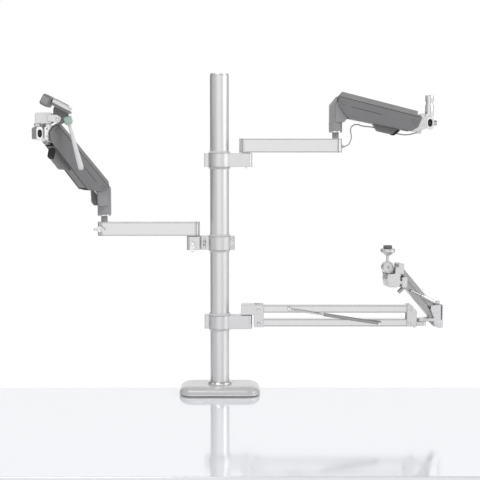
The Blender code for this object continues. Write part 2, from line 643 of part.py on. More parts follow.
def cover_bottom(x):
    # Height of the cable cover's underside at x along the arm.
    share = (x - COVER_REAR[0]) / (COVER_FRONT[0] - COVER_REAR[0])
    return COVER_REAR[1] + (COVER_FRONT[1] - COVER_REAR[1]) * share


def build_arm(name, base, tilt):
    # The shell tilts on the riser's trunnions; the cover, the cylinder and the rod ride in it.
    arm = frame(name + "_tilt", base, at=(RISER_X, 0, RISER_Z), turn=(0, -tilt, 0))
    nose = ARM_LENGTH + 11.6 * MM
    side = [(-5.1 * MM, ARM_TOP, 0), (ARM_LENGTH + 4.5 * MM, ARM_TOP, 0), (nose, 7 * MM, 2 * MM),
            (nose - 2.6 * MM, -10 * MM, 5 * MM), (ARM_LENGTH - 2 * MM, -ARM_BOTTOM, 2 * MM),
            (9 * MM, -ARM_BOTTOM, 2 * MM), (-8 * MM, -4.8 * MM, 2 * MM), (-10.4 * MM, 7.25 * MM, 1 * MM)]

    def ridge(first, second):
        return min(first.z, second.z) > ARM_TOP - 0.0001 and abs(first.y - second.y) < 0.0001

    outer = chamfer(plate(rounded(side), -ARM_HALF, ARM_HALF, upright=True), ridge, ARM_CHAMFER)
    shell = part(name + "_arm_shell", outer, GREY, arm)
    inside = ARM_HALF - ARM_WALL
    inner_top = ARM_TOP - ARM_WALL
    hollow = box((-REACH, REACH), (-inside, inside), (-REACH, inner_top))

    def hollow_ridge(first, second):
        return min(first.z, second.z) > inner_top - 0.0001 and abs(first.y - second.y) < 0.0001

    cut(shell, chamfer(hollow, hollow_ridge, ARM_CHAMFER - 1.4 * MM))
    cut(shell, box((ARM_LENGTH + 2.5 * MM, REACH), (-inside + 0.2 * MM, inside - 0.2 * MM), (-REACH, REACH)))
    for x in (0, ARM_LENGTH):
        cut(shell, rod(TRUNNION_RADIUS + PLAY, -REACH, REACH, "Y", at=(x, 0, 0)))

    # The cover is a channel whose brim lies between the shell's walls, with a bulge for the lead.
    brim = -ARM_BOTTOM + 0.2 * MM
    tray = [(COVER_FROM, brim), (COVER_TO, brim), (COVER_TO, cover_bottom(COVER_TO)),
            (COVER_FROM, cover_bottom(COVER_FROM))]
    cover = part(name + "_cable_cover", plate([Vector(p) for p in tray], -COVER_HALF, COVER_HALF, upright=True),
                 GREY, arm)
    add(cover, box((COVER_FROM, COVER_TO), (-inside + GAP, inside - GAP), (brim - 0.1 * MM, brim + COVER_THICK)))
    ends = (COVER_FROM - 1 * MM, COVER_TO + 1 * MM)
    channel = [(x, cover_bottom(x) + COVER_THICK) for x in ends] + [(ends[1], 0), (ends[0], 0)]
    cut(cover, plate([Vector(p) for p in channel], -COVER_HALF + COVER_THICK, COVER_HALF - COVER_THICK,
                     upright=True))
    bulge = [(BULGE_X[0], cover_bottom(BULGE_X[0]) + 1 * MM, 0), (BULGE_X[1], BULGE_LOW, 3 * MM),
             (BULGE_X[2], BULGE_LOW + 1 * MM, 3 * MM), (BULGE_X[3], cover_bottom(BULGE_X[3]) + 1 * MM, 0)]
    add(cover, plate(rounded(bulge), -BULGE_HALF, BULGE_HALF, upright=True))
    cut(cover, box((CABLE_MOUTH_X, CABLE_MOUTH_X + REACH), (-BULGE_HALF + 2 * MM, BULGE_HALF - 2 * MM),
                   (BULGE_LOW + 3 * MM, cover_bottom(BULGE_X[3]) - 1 * MM)))
    cut(cover, rod(LEAD_RADIUS + 0.75 * MM, 40 * MM, CABLE_MOUTH_X + 1 * MM, "X", at=(0, 0, LEAD_Z), sides=12))

    gas = (0, GAS_AXIS_Y, GAS_AXIS_Z)
    cylinder = part(name + "_gas_cylinder", rod(GAS_RADIUS, GAS_FROM, GAS_TO, "X", at=gas), DARK, arm)
    cut(cylinder, rod(GAS_ROD_RADIUS + PLAY, GAS_FROM - REACH, GAS_TO - 8 * MM, "X", at=gas))
    add(cylinder, rod(GAS_PIN_RADIUS, -inside + GAP, GAS_AXIS_Y, "Y", at=(GAS_TO - 5 * MM, 0, GAS_AXIS_Z),
                      sides=12))
    anchor = -GAS_DROP * sin(radians(tilt))
    tip = anchor + GAS_PIN_RADIUS + 0.5 * MM
    part(name + "_gas_rod", rod(GAS_ROD_RADIUS, tip, tip + 72 * MM, "X", at=gas, sides=12), STEEL_FINISH, arm)

    pivot = frame(name + "_link_turn", base, at=(RISER_X, 0, RISER_Z - LINK_DROP), turn=(0, -tilt, 0))
    bar = part(name + "_arm_link", plate(slot((0, 0), (ARM_LENGTH, 0), LINK_END), LINK_Y[0], LINK_Y[1],
                                         upright=True), CAST, pivot)
    for x in (0, ARM_LENGTH):
        cut(bar, rod(LINK_PIN_RADIUS + PLAY, -REACH, REACH, "Y", at=(x, 0, 0), sides=12))
    return arm


def build_knuckle(name, arm, tilt):
    # The knuckle hangs between the shell's walls and the link keeps it level; the socket block is bolted on.
    level = frame(name + "_level", arm, at=(ARM_LENGTH, 0, 0), turn=(0, tilt, 0))
    high = KNUCKLE_HALF_HEIGHT
    outline = [(-8 * MM, 5 * MM, 4 * MM), (-8 * MM, -19 * MM, 5 * MM), (8 * MM, -20 * MM, 4 * MM),
               (KNUCKLE_FRONT, -high, 2 * MM), (KNUCKLE_FRONT, BLOCK_TOP - 1 * MM, 0),
               (KNUCKLE_FRONT - 2.6 * MM, BLOCK_TOP, 0), (KNUCKLE_FRONT - 2.6 * MM, high, 2 * MM),
               (13 * MM, high, 2 * MM),
               (4 * MM, 8 * MM, 3 * MM), (-4 * MM, 8 * MM, 2 * MM)]
    knuckle = part(name + "_knuckle", plate(rounded(outline), -LUG_OUT, LUG_OUT, upright=True), CAST, level)
    cut(knuckle, box((-REACH, 9.5 * MM), (-LUG_IN, LUG_IN), (-REACH, REACH)))
    for side in (-1, 1):
        near, far = sorted((side * (LUG_OUT - 1 * MM), side * (ARM_HALF - 0.4 * MM)))
        add(knuckle, rod(TRUNNION_RADIUS, near, far, "Y"))
    add(knuckle, rod(LINK_PIN_RADIUS, LINK_Y[0], LUG_IN + 1 * MM, "Y", at=(0, 0, -LINK_DROP), sides=12))
    add(knuckle, box((6 * MM, 14.5 * MM), (-4 * MM, 4 * MM), (-HOOK_DROP, -12 * MM), 1.5 * MM, "Y", 2))
    start = KNUCKLE_FRONT + GAP
    middle = start + BLOCK_LENGTH / 2
    block = part(name + "_socket", box((start, start + BLOCK_LENGTH), (-SOCKET_HALF, SOCKET_HALF),
                                       (-BLOCK_DROP, BLOCK_TOP), 5.5 * MM, "Y", segments=3), POLISHED, level)
    hole_z = (BLOCK_TOP - BLOCK_DROP) / 2
    rise = (BORE_HEIGHT - BORE_WIDTH) / 2
    cut(block, plate(slot((middle, hole_z - rise), (middle, hole_z + rise), BORE_WIDTH / 2, 5), -REACH, REACH,
                     upright=True))
    return level, block, middle


def build_light_head(level, block, middle):
    spot = BLOCK_TOP + GAP
    turn = frame("light_pan", level, at=(middle - 0.6 * MM, 0, spot))
    waist = SPIGOT_HEIGHT * 0.62
    profile = [(0, SPIGOT_HEIGHT), (SPIGOT_RADIUS - 1 * MM, SPIGOT_HEIGHT), (SPIGOT_RADIUS, SPIGOT_HEIGHT - 1 * MM),
               (SPIGOT_RADIUS, waist + 4 * MM), (SPIGOT_WAIST, waist + 2 * MM), (SPIGOT_WAIST, waist - 2 * MM),
               (SPIGOT_RADIUS, waist - 4 * MM), (SPIGOT_RADIUS, 0), (0, 0)]
    spin(part("light_spigot", turned(profile), POLISHED, turn), 24)
    hole_z = (BLOCK_TOP - BLOCK_DROP) / 2
    face = KNUCKLE_FRONT + GAP + BLOCK_LENGTH
    shaft = (BLOCK_LENGTH - BORE_WIDTH) / 2 + 1.5 * MM
    knob = part("light_socket_knob", rod(4.6 * MM, GAP, 7 * MM), STEEL_FINISH, level, (face, 0, hole_z), (0, 90, 0))
    add(knob, rod(KNOB_SHAFT_RADIUS, -shaft, 2 * GAP, sides=12))
    cut(block, rod(KNOB_SHAFT_RADIUS + PLAY, middle, face + REACH, "X", at=(0, 0, hole_z), sides=12))


def build_camera_head(level, middle, heading):
    # The head's own x runs to the right in the world, whatever the arm's heading.
    base = KNUCKLE_HALF_HEIGHT + GAP
    pan = frame("camera_pan", level, at=(middle, 0, base), turn=(0, 0, -heading))
    block = part("camera_pan_block", box((-2 * MM, 28 * MM), (-11 * MM, 11 * MM), (0, PAN_HEIGHT), 4 * MM, "Y", 2),
                 CAST, pan)
    add(block, rod(6 * MM, BLOCK_TOP - base + GAP, 1 * MM))
    pivot = Vector(HEAD_PIVOT)
    web = [(20 * MM, 4 * MM, 0), (pivot.x + 3 * MM, pivot.y - 7 * MM, 3 * MM), (pivot.x + 7 * MM, pivot.y + 2 * MM, 3 * MM),
           (pivot.x, pivot.y + 7 * MM, 3 * MM), (20 * MM, 15 * MM, 0)]
    add(block, plate(rounded(web, 2), HEAD_SHIFT - 9 * MM, HEAD_SHIFT - 1 * MM, upright=True))
    cut(block, rod(HEAD_PIN_RADIUS + PLAY, -REACH, REACH, "Y", at=(pivot.x, 0, pivot.y), sides=12))
    tilt = frame("camera_tilt_turn", pan, at=(pivot.x, HEAD_SHIFT, pivot.y), turn=(0, HEAD_TILT, 0))
    cheek = [(-7 * MM, -7 * MM, 5 * MM), (7 * MM, -7 * MM, 3 * MM), (14 * MM, 1 * MM, 0), (14 * MM, 12 * MM, 0),
             (8 * MM, 19 * MM, 0), (-16 * MM, 19 * MM, 0), (-16 * MM, 12 * MM, 2 * MM)]
    head = part("camera_tilt_head", plate(rounded(cheek, 2), -1 * MM + GAP, 7 * MM, upright=True), GREY, tilt)
    add(head, rod(HEAD_PIN_RADIUS, -10 * MM, 11 * MM, "Y", sides=12))
    add(head, rod(4.5 * MM, 6 * MM, 12 * MM, "Y"))
    add(head, box((-30 * MM, 14 * MM), (-13 * MM, 13 * MM), (17 * MM, BED_TOP), 1.5 * MM, "Z", 2))
    add(head, box(JAW_X, (-JAW_HALF, JAW_HALF), (9 * MM, BED_TOP + 8 * MM), 3.5 * MM, "Y", 2))
    seat = BED_TOP + GAP
    quick = part("camera_quick_plate", box(PLATE_X, (-12 * MM, 12 * MM), (seat, seat + 6 * MM), 2 * MM, "Z", 2),
                 CAST, tilt)
    pad_x = (PLATE_X[0] + 2.6 * MM, PLATE_X[1] - 6 * MM)
    for y in (-6 * MM, 6 * MM):
        add(quick, box(pad_x, (y - 4.6 * MM, y + 4.6 * MM), (seat + 5 * MM, seat + 8 * MM), 4.4 * MM, "Z", 4))
    place = {"at": GRIP_AT, "turn": (0, GRIP_LEAN - HEAD_TILT, 0)}
    grip = frame("camera_grip_turn", tilt, **place)
    handle = part("camera_handle", rod(2.8 * MM, 3 * MM, HANDLE_LENGTH - 6 * MM, sides=16, tip=6.2 * MM),
                  HANDLE_FINISH, grip)
    add(handle, rod(6.2 * MM, HANDLE_LENGTH - 7 * MM, HANDLE_LENGTH, sides=16, tip=5 * MM))
    add(handle, rod(7.5 * MM, -10.5 * MM, 4.5 * MM, sides=12))
    add(handle, rod(HEAD_PIN_RADIUS, -14 * MM, 0, sides=12))
    cut(head, rod(7.9 * MM, -10.5 * MM - GAP, REACH, sides=24), **place)
    cut(head, rod(HEAD_PIN_RADIUS + PLAY, -14 * MM - GAP, 0, sides=12), **place)
    return tilt


def build_mic_arm(collar):
    foot = MIC_COLLAR_Z
    top = COLLAR_HEIGHT / 2 + GAP + WASHER
    swing = frame("mic_swing", collar, at=(PIVOT_X, 0, -foot))
    leg_low = foot + top
    tail = 9.5 * MM
    wall = MIC_PIVOT_X - 9 * MM
    pivots = (MIC_PIVOT_Z, MIC_PIVOT_Z + MIC_PITCH)
    bracket = part("mic_bracket", box((wall, MIC_PIVOT_X + 9 * MM), (-CHEEK_OUT, CHEEK_OUT),
                                      (BRACKET_FOOT, BRACKET_TOP), 1.5 * MM, "Y", 2), CAST, swing)
    add(bracket, box((-tail, wall + 2 * MM), (-CHEEK_OUT, CHEEK_OUT), (leg_low, BRACKET_TOP), 2 * MM, "Y", 2))
    add(bracket, rod(WASHER_RADIUS, leg_low - WASHER, leg_low + 1 * MM, sides=24))
    add(bracket, rod(PIVOT_PIN_RADIUS, foot - COLLAR_HEIGHT / 2 + 2 * MM, leg_low + 2 * MM))
    cut(bracket, box((MIC_PIVOT_X - 7.6 * MM, REACH), (-CHEEK_IN, CHEEK_IN), (-REACH, REACH)))
    bars = []
    for name, z in (("mic_lower_bar", pivots[0]), ("mic_upper_bar", pivots[1])):
        turn = frame(name + "_turn", swing, at=(MIC_PIVOT_X, 0, z))
        bar = part(name, plate(slot((0, 0), (MIC_BAR_LENGTH, 0), MIC_BAR_HEIGHT / 2), -MIC_BAR_HALF, MIC_BAR_HALF,
                               upright=True), SATIN, turn)
        for x in (0, MIC_BAR_LENGTH):
            cut(bar, rod(MIC_PIN_RADIUS + PLAY, -REACH, REACH, "Y", at=(x, 0, 0), sides=12))
        add(bracket, rod(MIC_PIN_RADIUS, -CHEEK_OUT + 1 * MM, CHEEK_OUT - 1 * MM, "Y", at=(MIC_PIVOT_X, 0, z),
                         sides=12))
        bars.append((turn, bar))
    lower, lower_bar = bars[0]

    # The spring strut lies in front of the bars, from the lower bar's pin up to the upper bar.
    rise = MIC_PITCH
    run = STRUT_REAR_X - STRUT_FRONT_X
    length = hypot(run, rise)
    lean = frame("mic_strut_lean", lower, at=(STRUT_REAR_X, -MIC_BAR_HALF - GAP - STRUT_RADIUS, 0),
                 turn=(0, degrees(atan2(-run, rise)), 0))
    tube_end = length * STRUT_TUBE
    tube = part("mic_strut_tube", rod(STRUT_RADIUS, -3.5 * MM, tube_end), SATIN, lean)
    cut(tube, rod(STRUT_ROD_RADIUS + PLAY, 12 * MM, REACH, sides=12))
    add(tube, rod(MIC_PIN_RADIUS - PLAY, 0, 2 * MIC_BAR_HALF, "Y", sides=12))
    cut(lower_bar, rod(MIC_PIN_RADIUS, -REACH, REACH, "Y", at=(STRUT_REAR_X, 0, 0), sides=12))
    rods = part("mic_strut_rod", rod(STRUT_ROD_RADIUS, length - STRUT_ROD_LENGTH, length, sides=12),
                STEEL_FINISH, lean)
    add(rods, rod(STRUT_EYE_RADIUS, -STRUT_RADIUS + GAP, STRUT_RADIUS - GAP, "Y", at=(0, 0, length)))
    return lower


def build_elbow(lower):
    # The elbow stays level at the bars' far end; its tongue carries the yoke.
    level = frame("mic_level", lower, at=(MIC_BAR_LENGTH, 0, 0))
    wall = 7.4 * MM
    back = wall + ELBOW_WALL
    low, high = -6 * MM, MIC_PITCH + 8 * MM
    outline = [(-6.5 * MM, low, 1 * MM), (back, low, 0), (back, high - ELBOW_SLANT, 1 * MM),
               (back - ELBOW_SLANT, high, 1 * MM), (-6.5 * MM, high, 1 * MM)]
    elbow = part("mic_elbow", plate(rounded(outline, 2), -CHEEK_OUT, CHEEK_OUT, upright=True), CAST, level)
    cut(elbow, box((-REACH, wall), (-CHEEK_IN, CHEEK_IN), (-REACH, REACH)))
    tongue = [(back - 2 * MM, -8.3 * MM, 0), (ELBOW_SWIVEL + 8.3 * MM, -8.3 * MM, 6 * MM),
              (ELBOW_SWIVEL + 8.3 * MM, 8.3 * MM, 6 * MM), (back - 2 * MM, 8.3 * MM, 0)]
    add(elbow, plate(rounded(tongue), low + 0.5 * MM, low + 0.5 * MM + TONGUE_THICK))
    cut(elbow, rod(3 * MM + PLAY, low + 2 * MM, REACH, at=(ELBOW_SWIVEL, 0, 0)))
    for z in (0, MIC_PITCH):
        add(elbow, rod(MIC_PIN_RADIUS, -CHEEK_OUT + 1 * MM, CHEEK_OUT - 1 * MM, "Y", at=(0, 0, z), sides=12))
    add(elbow, rod(2.2 * MM, low - 3.5 * MM, low + 1 * MM, at=(wall + 2 * MM, 0, 0), sides=12))
    return level


def build_forearm(level):
    # The yoke swivels on the tongue and holds the short folded arm; heights here are above the desk.
    yoke_frame = frame("mic_yoke_turn", level, at=(ELBOW_SWIVEL, 0, -MIC_PIVOT_Z), turn=(0, 0, 180 + FORE_SWIVEL))
    foot = MIC_PIVOT_Z - 6 * MM + 0.5 * MM + TONGUE_THICK + GAP
    inner = FORE_BAR_HALF + GAP
    outer = inner + 3.9 * MM
    upper = Vector((FORE_UPPER[0], FORE_UPPER[1]))
    lower = upper + Vector((FORE_PITCH[0], FORE_PITCH[1]))
    rear = lower.x - 13 * MM
    cheek = [(rear, upper.y + 3.5 * MM, 1 * MM), (upper.x + 5 * MM, upper.y + 3.5 * MM, 2 * MM),
             (upper.x + 5 * MM, upper.y - 6 * MM, 1 * MM), (lower.x + 5.5 * MM, foot + 5.7 * MM, 0),
             (lower.x + 5.5 * MM, foot - 5 * MM, 0), (lower.x - 3 * MM, foot - 13 * MM, 1 * MM),
             (rear, foot - 13 * MM, 1 * MM)]
    yoke = part("mic_yoke", plate(rounded(cheek, 2), -outer, outer, upright=True), CAST, yoke_frame)
    leg = [(7.6 * MM, -7.6 * MM, 7 * MM), (7.6 * MM, 7.6 * MM, 7 * MM), (-4 * MM, 9 * MM, 0),
           (-16 * MM, outer, 0), (rear + 4 * MM, outer, 0), (rear + 4 * MM, -outer, 0), (-16 * MM, -outer, 0),
           (-4 * MM, -9 * MM, 0)]
    add(yoke, plate(rounded(leg), foot, foot + 5.7 * MM))
    cut(yoke, box((lower.x - 5.5 * MM, -8.6 * MM), (-inner, inner), (-REACH, REACH)))
    cut(yoke, box((rear + 2.4 * MM, rear + 4.2 * MM), (-REACH, REACH), (foot + 2 * MM, REACH)))
    add(yoke, rod(3 * MM, foot - TONGUE_THICK + 2.2 * MM, foot + 2 * MM))
    for pivot in (upper, lower):
        add(yoke, rod(FORE_PIN_RADIUS, -outer + 1 * MM, outer - 1 * MM, "Y", at=(pivot.x, 0, pivot.y), sides=12))
    lug = Vector(FORE_STRUT_PIN)
    add(yoke, box((lower.x - 6.5 * MM, lug.x + 2.5 * MM), (1.5 * MM, 5 * MM),
                  (upper.y + 5.2 * MM, lug.y + 2.5 * MM)))
    add(yoke, box((lower.x - 8.5 * MM, lower.x - 5.6 * MM), (1.5 * MM, 5 * MM),
                  (upper.y - 2 * MM, lug.y + 2.5 * MM)))
    strut_y = inner + 2.9 * MM
    add(yoke, rod(FORE_STRUT_PIN_RADIUS, 3 * MM, strut_y + 1.6 * MM, "Y", at=(lug.x, 0, lug.y), sides=12))

    bars = []
    for name, pivot in (("mic_fore_upper", upper), ("mic_fore_lower", lower)):
        turn = frame(name + "_turn", yoke_frame, at=(pivot.x, 0, pivot.y), turn=(0, -FORE_TILT, 0))
        bar = part(name, plate(slot((0, 0), (FORE_LENGTH, 0), FORE_BAR_HEIGHT / 2), -FORE_BAR_HALF,
                               FORE_BAR_HALF, upright=True), SATIN, turn)
        for x in (0, FORE_LENGTH):
            cut(bar, rod(FORE_PIN_RADIUS + PLAY, -REACH, REACH, "Y", at=(x, 0, 0), sides=12))
        bars.append((turn, bar))
    add(bars[1][1], rod(3.8 * MM, -19 * MM, 0, at=(FORE_LENGTH - 9 * MM, 0, 0)))

    far = lower + FORE_STRUT_X * Vector((cos(radians(FORE_TILT)), sin(radians(FORE_TILT))))
    way = far - lug
    strut = frame("mic_fore_strut_turn", yoke_frame, at=(lug.x, strut_y, lug.y),
                  turn=(0, degrees(atan2(way.x, way.y)), 0))
    length = way.length
    tube = part("mic_fore_strut_tube", rod(2.6 * MM, -3.2 * MM, length * 0.62), SATIN, strut)
    cut(tube, rod(FORE_STRUT_PIN_RADIUS + 0.2 * MM, -REACH, REACH, "Y", sides=12))
    cut(tube, rod(1.3 * MM + 0.2 * MM, 5 * MM, REACH, sides=12))
    eye = part("mic_fore_strut_rod", rod(1.3 * MM, length * 0.4, length, sides=12), STEEL_FINISH, strut)
    add(eye, rod(2.6 * MM, -2.4 * MM, 2.4 * MM, "Y", at=(0, 0, length)))
    return bars[0][0], bars[1][0]


def build_mic_head(fore_upper):
    # The head stays level; a tilt ring on its side carries the stem, the flange and the thumbwheel.
    head_frame = frame("mic_head_level", fore_upper, at=(FORE_LENGTH, 0, 0), turn=(0, FORE_TILT, 0))
    inner = FORE_BAR_HALF + GAP
    outer = inner + 3.2 * MM
    pitch = Vector(FORE_PITCH)
    block = [(2 * MM, 4 * MM, 2 * MM), (2 * MM, -31 * MM, 2 * MM), (8 * MM, -34 * MM, 4 * MM),
             (26 * MM, -33 * MM, 4 * MM), (29 * MM, -18 * MM, 4 * MM), (27 * MM, -8.8 * MM, 1 * MM),
             (13 * MM, -8.8 * MM, 0), (11 * MM, 4 * MM, 2 * MM)]
    head = part("mic_head", plate(rounded(block, 2), -outer - GAP, outer + GAP, upright=True), CAST, head_frame)
    for middle in (Vector((0, 0)), pitch):
        x, z = middle
        knuckle = [(x - 5.5 * MM, z - 10 * MM, 2.5 * MM), (x + 5.5 * MM, z - 10 * MM, 2.5 * MM),
                   (x + 5.5 * MM, z + 10 * MM, 2.5 * MM), (x - 5.5 * MM, z + 10 * MM, 2.5 * MM)]
        add(head, plate(rounded(knuckle, 2), -outer, outer, upright=True))
    add(head, box((pitch.x + 1 * MM, 4 * MM), (-outer + GAP, outer - GAP), (pitch.y - 3 * MM, pitch.y + 3 * MM)))
    cut(head, box((-REACH, 5.2 * MM), (-inner, inner), (-REACH, REACH)))
    for middle in (Vector((0, 0)), pitch):
        add(head, rod(FORE_PIN_RADIUS, -outer + 1 * MM, outer - 1 * MM, "Y", at=(middle.x, 0, middle.y), sides=12))
    ring_x, ring_z = RING_AT
    low_face = -RING_HALF - GAP
    ear = [(7 * MM, 3 * MM, 0), (7 * MM, -20 * MM, 0), (ring_x + 3 * MM, -20 * MM, 0),
           (ring_x + 8 * MM, ring_z, 3 * MM), (ring_x + 5 * MM, ring_z + 8 * MM, 3 * MM),
           (ring_x - 5 * MM, ring_z + 8 * MM, 3 * MM)]
    add(head, plate(rounded(ear, 2), -outer + GAP, low_face, upright=True))
    cut(head, rod(2.5 * MM + PLAY, -REACH, REACH, "Y", at=(ring_x, 0, ring_z), sides=12))
    turn = frame("mic_tilt_turn", head_frame, at=(ring_x, 0, ring_z))
    ring = part("mic_tilt_ring", rod(TILT_RING_RADIUS, -RING_HALF, RING_HALF, "Y", sides=24), CAST, turn)
    cut(ring, rod(TILT_RING_RADIUS - 2 * MM, RING_HALF - 2 * MM, REACH, "Y", sides=24))
    cut(ring, rod(2.5 * MM + PLAY, -REACH, REACH, "Y", sides=12))
    add(ring, rod(2.8 * MM, TILT_RING_RADIUS - 1.5 * MM, STEM_TOP))
    bell = STEM_TOP - 2 * MM
    rim = bell + FLANGE_HEIGHT
    cup = [(0, rim), (FLANGE_RADIUS - 1.5 * MM, rim), (FLANGE_RADIUS, rim - 1.5 * MM), (FLANGE_RADIUS, rim - 6 * MM),
           (5 * MM, bell), (0, bell)]
    spin(add(ring, turned(cup)), 24)
    add(ring, rod(STUD_RADIUS, rim - 1 * MM, rim + 4 * MM, sides=12))
    knob_frame = frame("mic_tilt_knob_turn", turn, at=(0, RING_HALF - 2 * MM + GAP, 0), turn=(-90, 0, 0))
    knob = part("mic_tilt_knob", rod(2.5 * MM, -2 * RING_HALF - 2 * MM, 1 * MM, sides=12), DARK, knob_frame)
    add(knob, rod(4.4 * MM, 0, 6 * MM))
    for angle in (90, 210, 330):
        spot = (3.6 * MM * cos(radians(angle)), 3.6 * MM * sin(radians(angle)), 0)
        add(knob, rod(2.9 * MM, 0.4 * MM, 7.5 * MM, at=spot, sides=12))
    wheel_frame = frame("mic_wheel_turn", turn, at=(0, 0, rim + GAP))
    wheel = part("mic_thumbwheel", rod(8 * MM, 0, 5.5 * MM, sides=24), DARK, wheel_frame)
    cut(wheel, rod(STUD_RADIUS + PLAY, -REACH, 4.2 * MM, sides=12))


def route(points, count):
    # Points along a smooth line through the given ones.
    spaced = []
    last = len(points) - 1
    for step in range(count + 1):
        place = last * step / count
        index = min(int(place), last - 1)
        share = place - index
        p0, p1 = Vector(points[max(index - 1, 0)]), Vector(points[index])
        p2, p3 = Vector(points[index + 1]), Vector(points[min(index + 2, last)])
        spaced.append(0.5 * (2 * p1 + (p2 - p0) * share + (2 * p0 - 5 * p1 + 4 * p2 - p3) * share ** 2
                             + (3 * p1 - 3 * p2 + p3 - p0) * share ** 3))
    return spaced


def cord(points, radius):
    # A round lead through points.
    curve = bpy.data.curves.new("cord", "CURVE")
    curve.dimensions = "3D"
    curve.bevel_depth = radius
    curve.bevel_resolution = 2
    curve.use_fill_caps = True
    spline = curve.splines.new("POLY")
    spline.points.add(len(points) - 1)
    for point, place in zip(spline.points, points):
        point.co = (*place, 1)
    outline = bpy.data.objects.new("cord", curve)
    bpy.context.scene.collection.objects.link(outline)
    ready = outline.evaluated_get(bpy.context.evaluated_depsgraph_get())
    mesh = bpy.data.meshes.new_from_object(ready)
    bm = bmesh.new()
    bm.from_mesh(mesh)
    bmesh.ops.remove_doubles(bm, verts=bm.verts, dist=0.00001)
    bmesh.ops.transform(bm, matrix=outline.matrix_world, verts=bm.verts)
    bpy.data.objects.remove(outline, do_unlink=True)
    bpy.data.curves.remove(curve)
    bpy.data.meshes.remove(mesh)
    return mesh_from(bm)


def build_lead(beam_frame, arm_frame, level_frame):
    # Heights and reaches are taken in the frames that the lead passes, at rest.
    bpy.context.view_layer.update()

    def along(place, x, y, z):
        return place.matrix_world @ Vector((x, y, z))

    end = BEAM_REACH + BEAM_NOSE
    points = [along(beam_frame, end + reach * MM, side * MM, height * MM) for reach, side, height in (
        (0.5, -6, 10.4), (5, -6.3, 11), (12, -6.8, 15), (16, -7, 22.5), (17, -7, 31), (15.6, -6.5, 38.5),
        (16.4, -5.5, 45.5), (21, -4, 49.8), (28, -2, 51.2))]
    points += [along(arm_frame, x * MM, 0, LEAD_Z + rise * MM) for x, rise in (
        (48, -2.2), (58, -0.8), (67, 0), (82, 0), (98, 0), (112, 0))]
    points += [along(level_frame, x * MM, 0, z * MM) for x, z in (
        (-17, -25.6), (-6, -25), (0.5, -23.2), (5.4, -21.9))]
    part("light_lead", cord(route(points, 76), LEAD_RADIUS), LEAD_FINISH, None)


stand = build_base()
build_clamp(stand)
for side, height, turn in (("light", LIGHT_COLLAR_Z, 0), ("camera", CAMERA_COLLAR_Z, 180), ("mic", MIC_COLLAR_Z, 0)):
    collar_frame, collar_clamp = build_collar(side, stand, height, turn)
    if side == "mic":
        forearm = build_forearm(build_elbow(build_mic_arm(collar_frame)))
        build_mic_head(forearm[0])
        continue
    swing_frame, beam_part = build_beam(side, collar_frame, collar_clamp)
    swivel_angle = CAMERA_SWIVEL if side == "camera" else 0
    tilt_angle = CAMERA_TILT if side == "camera" else LIGHT_TILT
    riser_frame, riser_part = build_riser(side, swing_frame, swivel_angle)
    arm_frame = build_arm(side, riser_frame, tilt_angle)
    level_frame, socket_block, socket_middle = build_knuckle(side, arm_frame, tilt_angle)
    if side == "light":
        build_light_head(level_frame, socket_block, socket_middle)
        build_lead(swing_frame, arm_frame, level_frame)
    else:
        build_camera_head(level_frame, socket_middle, turn + swivel_angle)
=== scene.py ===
# Looks of the desk camera stand: its finishes and fine pieces, the camera, the desk and the light.
import json
from math import cos, pi, radians, sin

import bmesh
import bpy
from mathutils import Matrix, Vector


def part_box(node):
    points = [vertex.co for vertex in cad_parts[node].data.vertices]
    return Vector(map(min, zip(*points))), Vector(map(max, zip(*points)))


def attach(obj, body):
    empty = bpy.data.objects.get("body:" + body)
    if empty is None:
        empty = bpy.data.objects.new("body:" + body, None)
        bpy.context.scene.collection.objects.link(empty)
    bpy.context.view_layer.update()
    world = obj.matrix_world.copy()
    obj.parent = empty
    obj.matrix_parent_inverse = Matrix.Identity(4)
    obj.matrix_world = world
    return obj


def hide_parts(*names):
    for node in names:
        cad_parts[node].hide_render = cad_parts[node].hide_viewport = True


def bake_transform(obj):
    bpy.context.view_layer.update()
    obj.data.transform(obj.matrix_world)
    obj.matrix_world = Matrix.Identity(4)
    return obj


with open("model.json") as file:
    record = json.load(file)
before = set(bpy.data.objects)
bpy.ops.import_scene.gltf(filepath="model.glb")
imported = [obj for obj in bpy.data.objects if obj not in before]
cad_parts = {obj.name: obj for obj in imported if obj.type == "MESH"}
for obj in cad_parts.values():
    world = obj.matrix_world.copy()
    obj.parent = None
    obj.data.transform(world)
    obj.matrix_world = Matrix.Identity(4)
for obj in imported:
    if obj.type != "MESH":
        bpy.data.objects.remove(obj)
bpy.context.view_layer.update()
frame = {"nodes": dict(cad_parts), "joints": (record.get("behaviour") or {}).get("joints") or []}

nodes = frame["nodes"]
mm = 0.001
print("frame loaded:", len(nodes), "nodes")

cameraView = {"spot": (0.0379, -1.850, 0.4604), "pitch": 84.69, "lens": 75, "sensor": 36}


def addCamera(view):
    lens = bpy.data.cameras.new("camera")
    lens.lens = view["lens"]
    lens.sensor_width = view["sensor"]
    camera = bpy.data.objects.new("camera", lens)
    camera.location = view["spot"]
    camera.rotation_euler = (radians(view["pitch"]), 0, 0)
    bpy.context.scene.collection.objects.link(camera)
    bpy.context.scene.camera = camera


addCamera(cameraView)


# Mesh tools
def show(name, mesh, material):
    mesh.name = name
    piece = bpy.data.objects.new(name, mesh)
    mesh.materials.clear()
    mesh.materials.append(material)
    bpy.context.scene.collection.objects.link(piece)
    mesh.shade_smooth()
    normals = piece.modifiers.new("normals", "WEIGHTED_NORMAL")
    normals.keep_sharp = False
    return piece


def meshFrom(bm):
    bmesh.ops.recalc_face_normals(bm, faces=bm.faces)
    mesh = bpy.data.meshes.new("piece")
    bm.to_mesh(mesh)
    bm.free()
    return mesh


def inMm(points):
    # Points written in millimetres, in metres
    return [tuple(value * mm for value in point) for point in points]


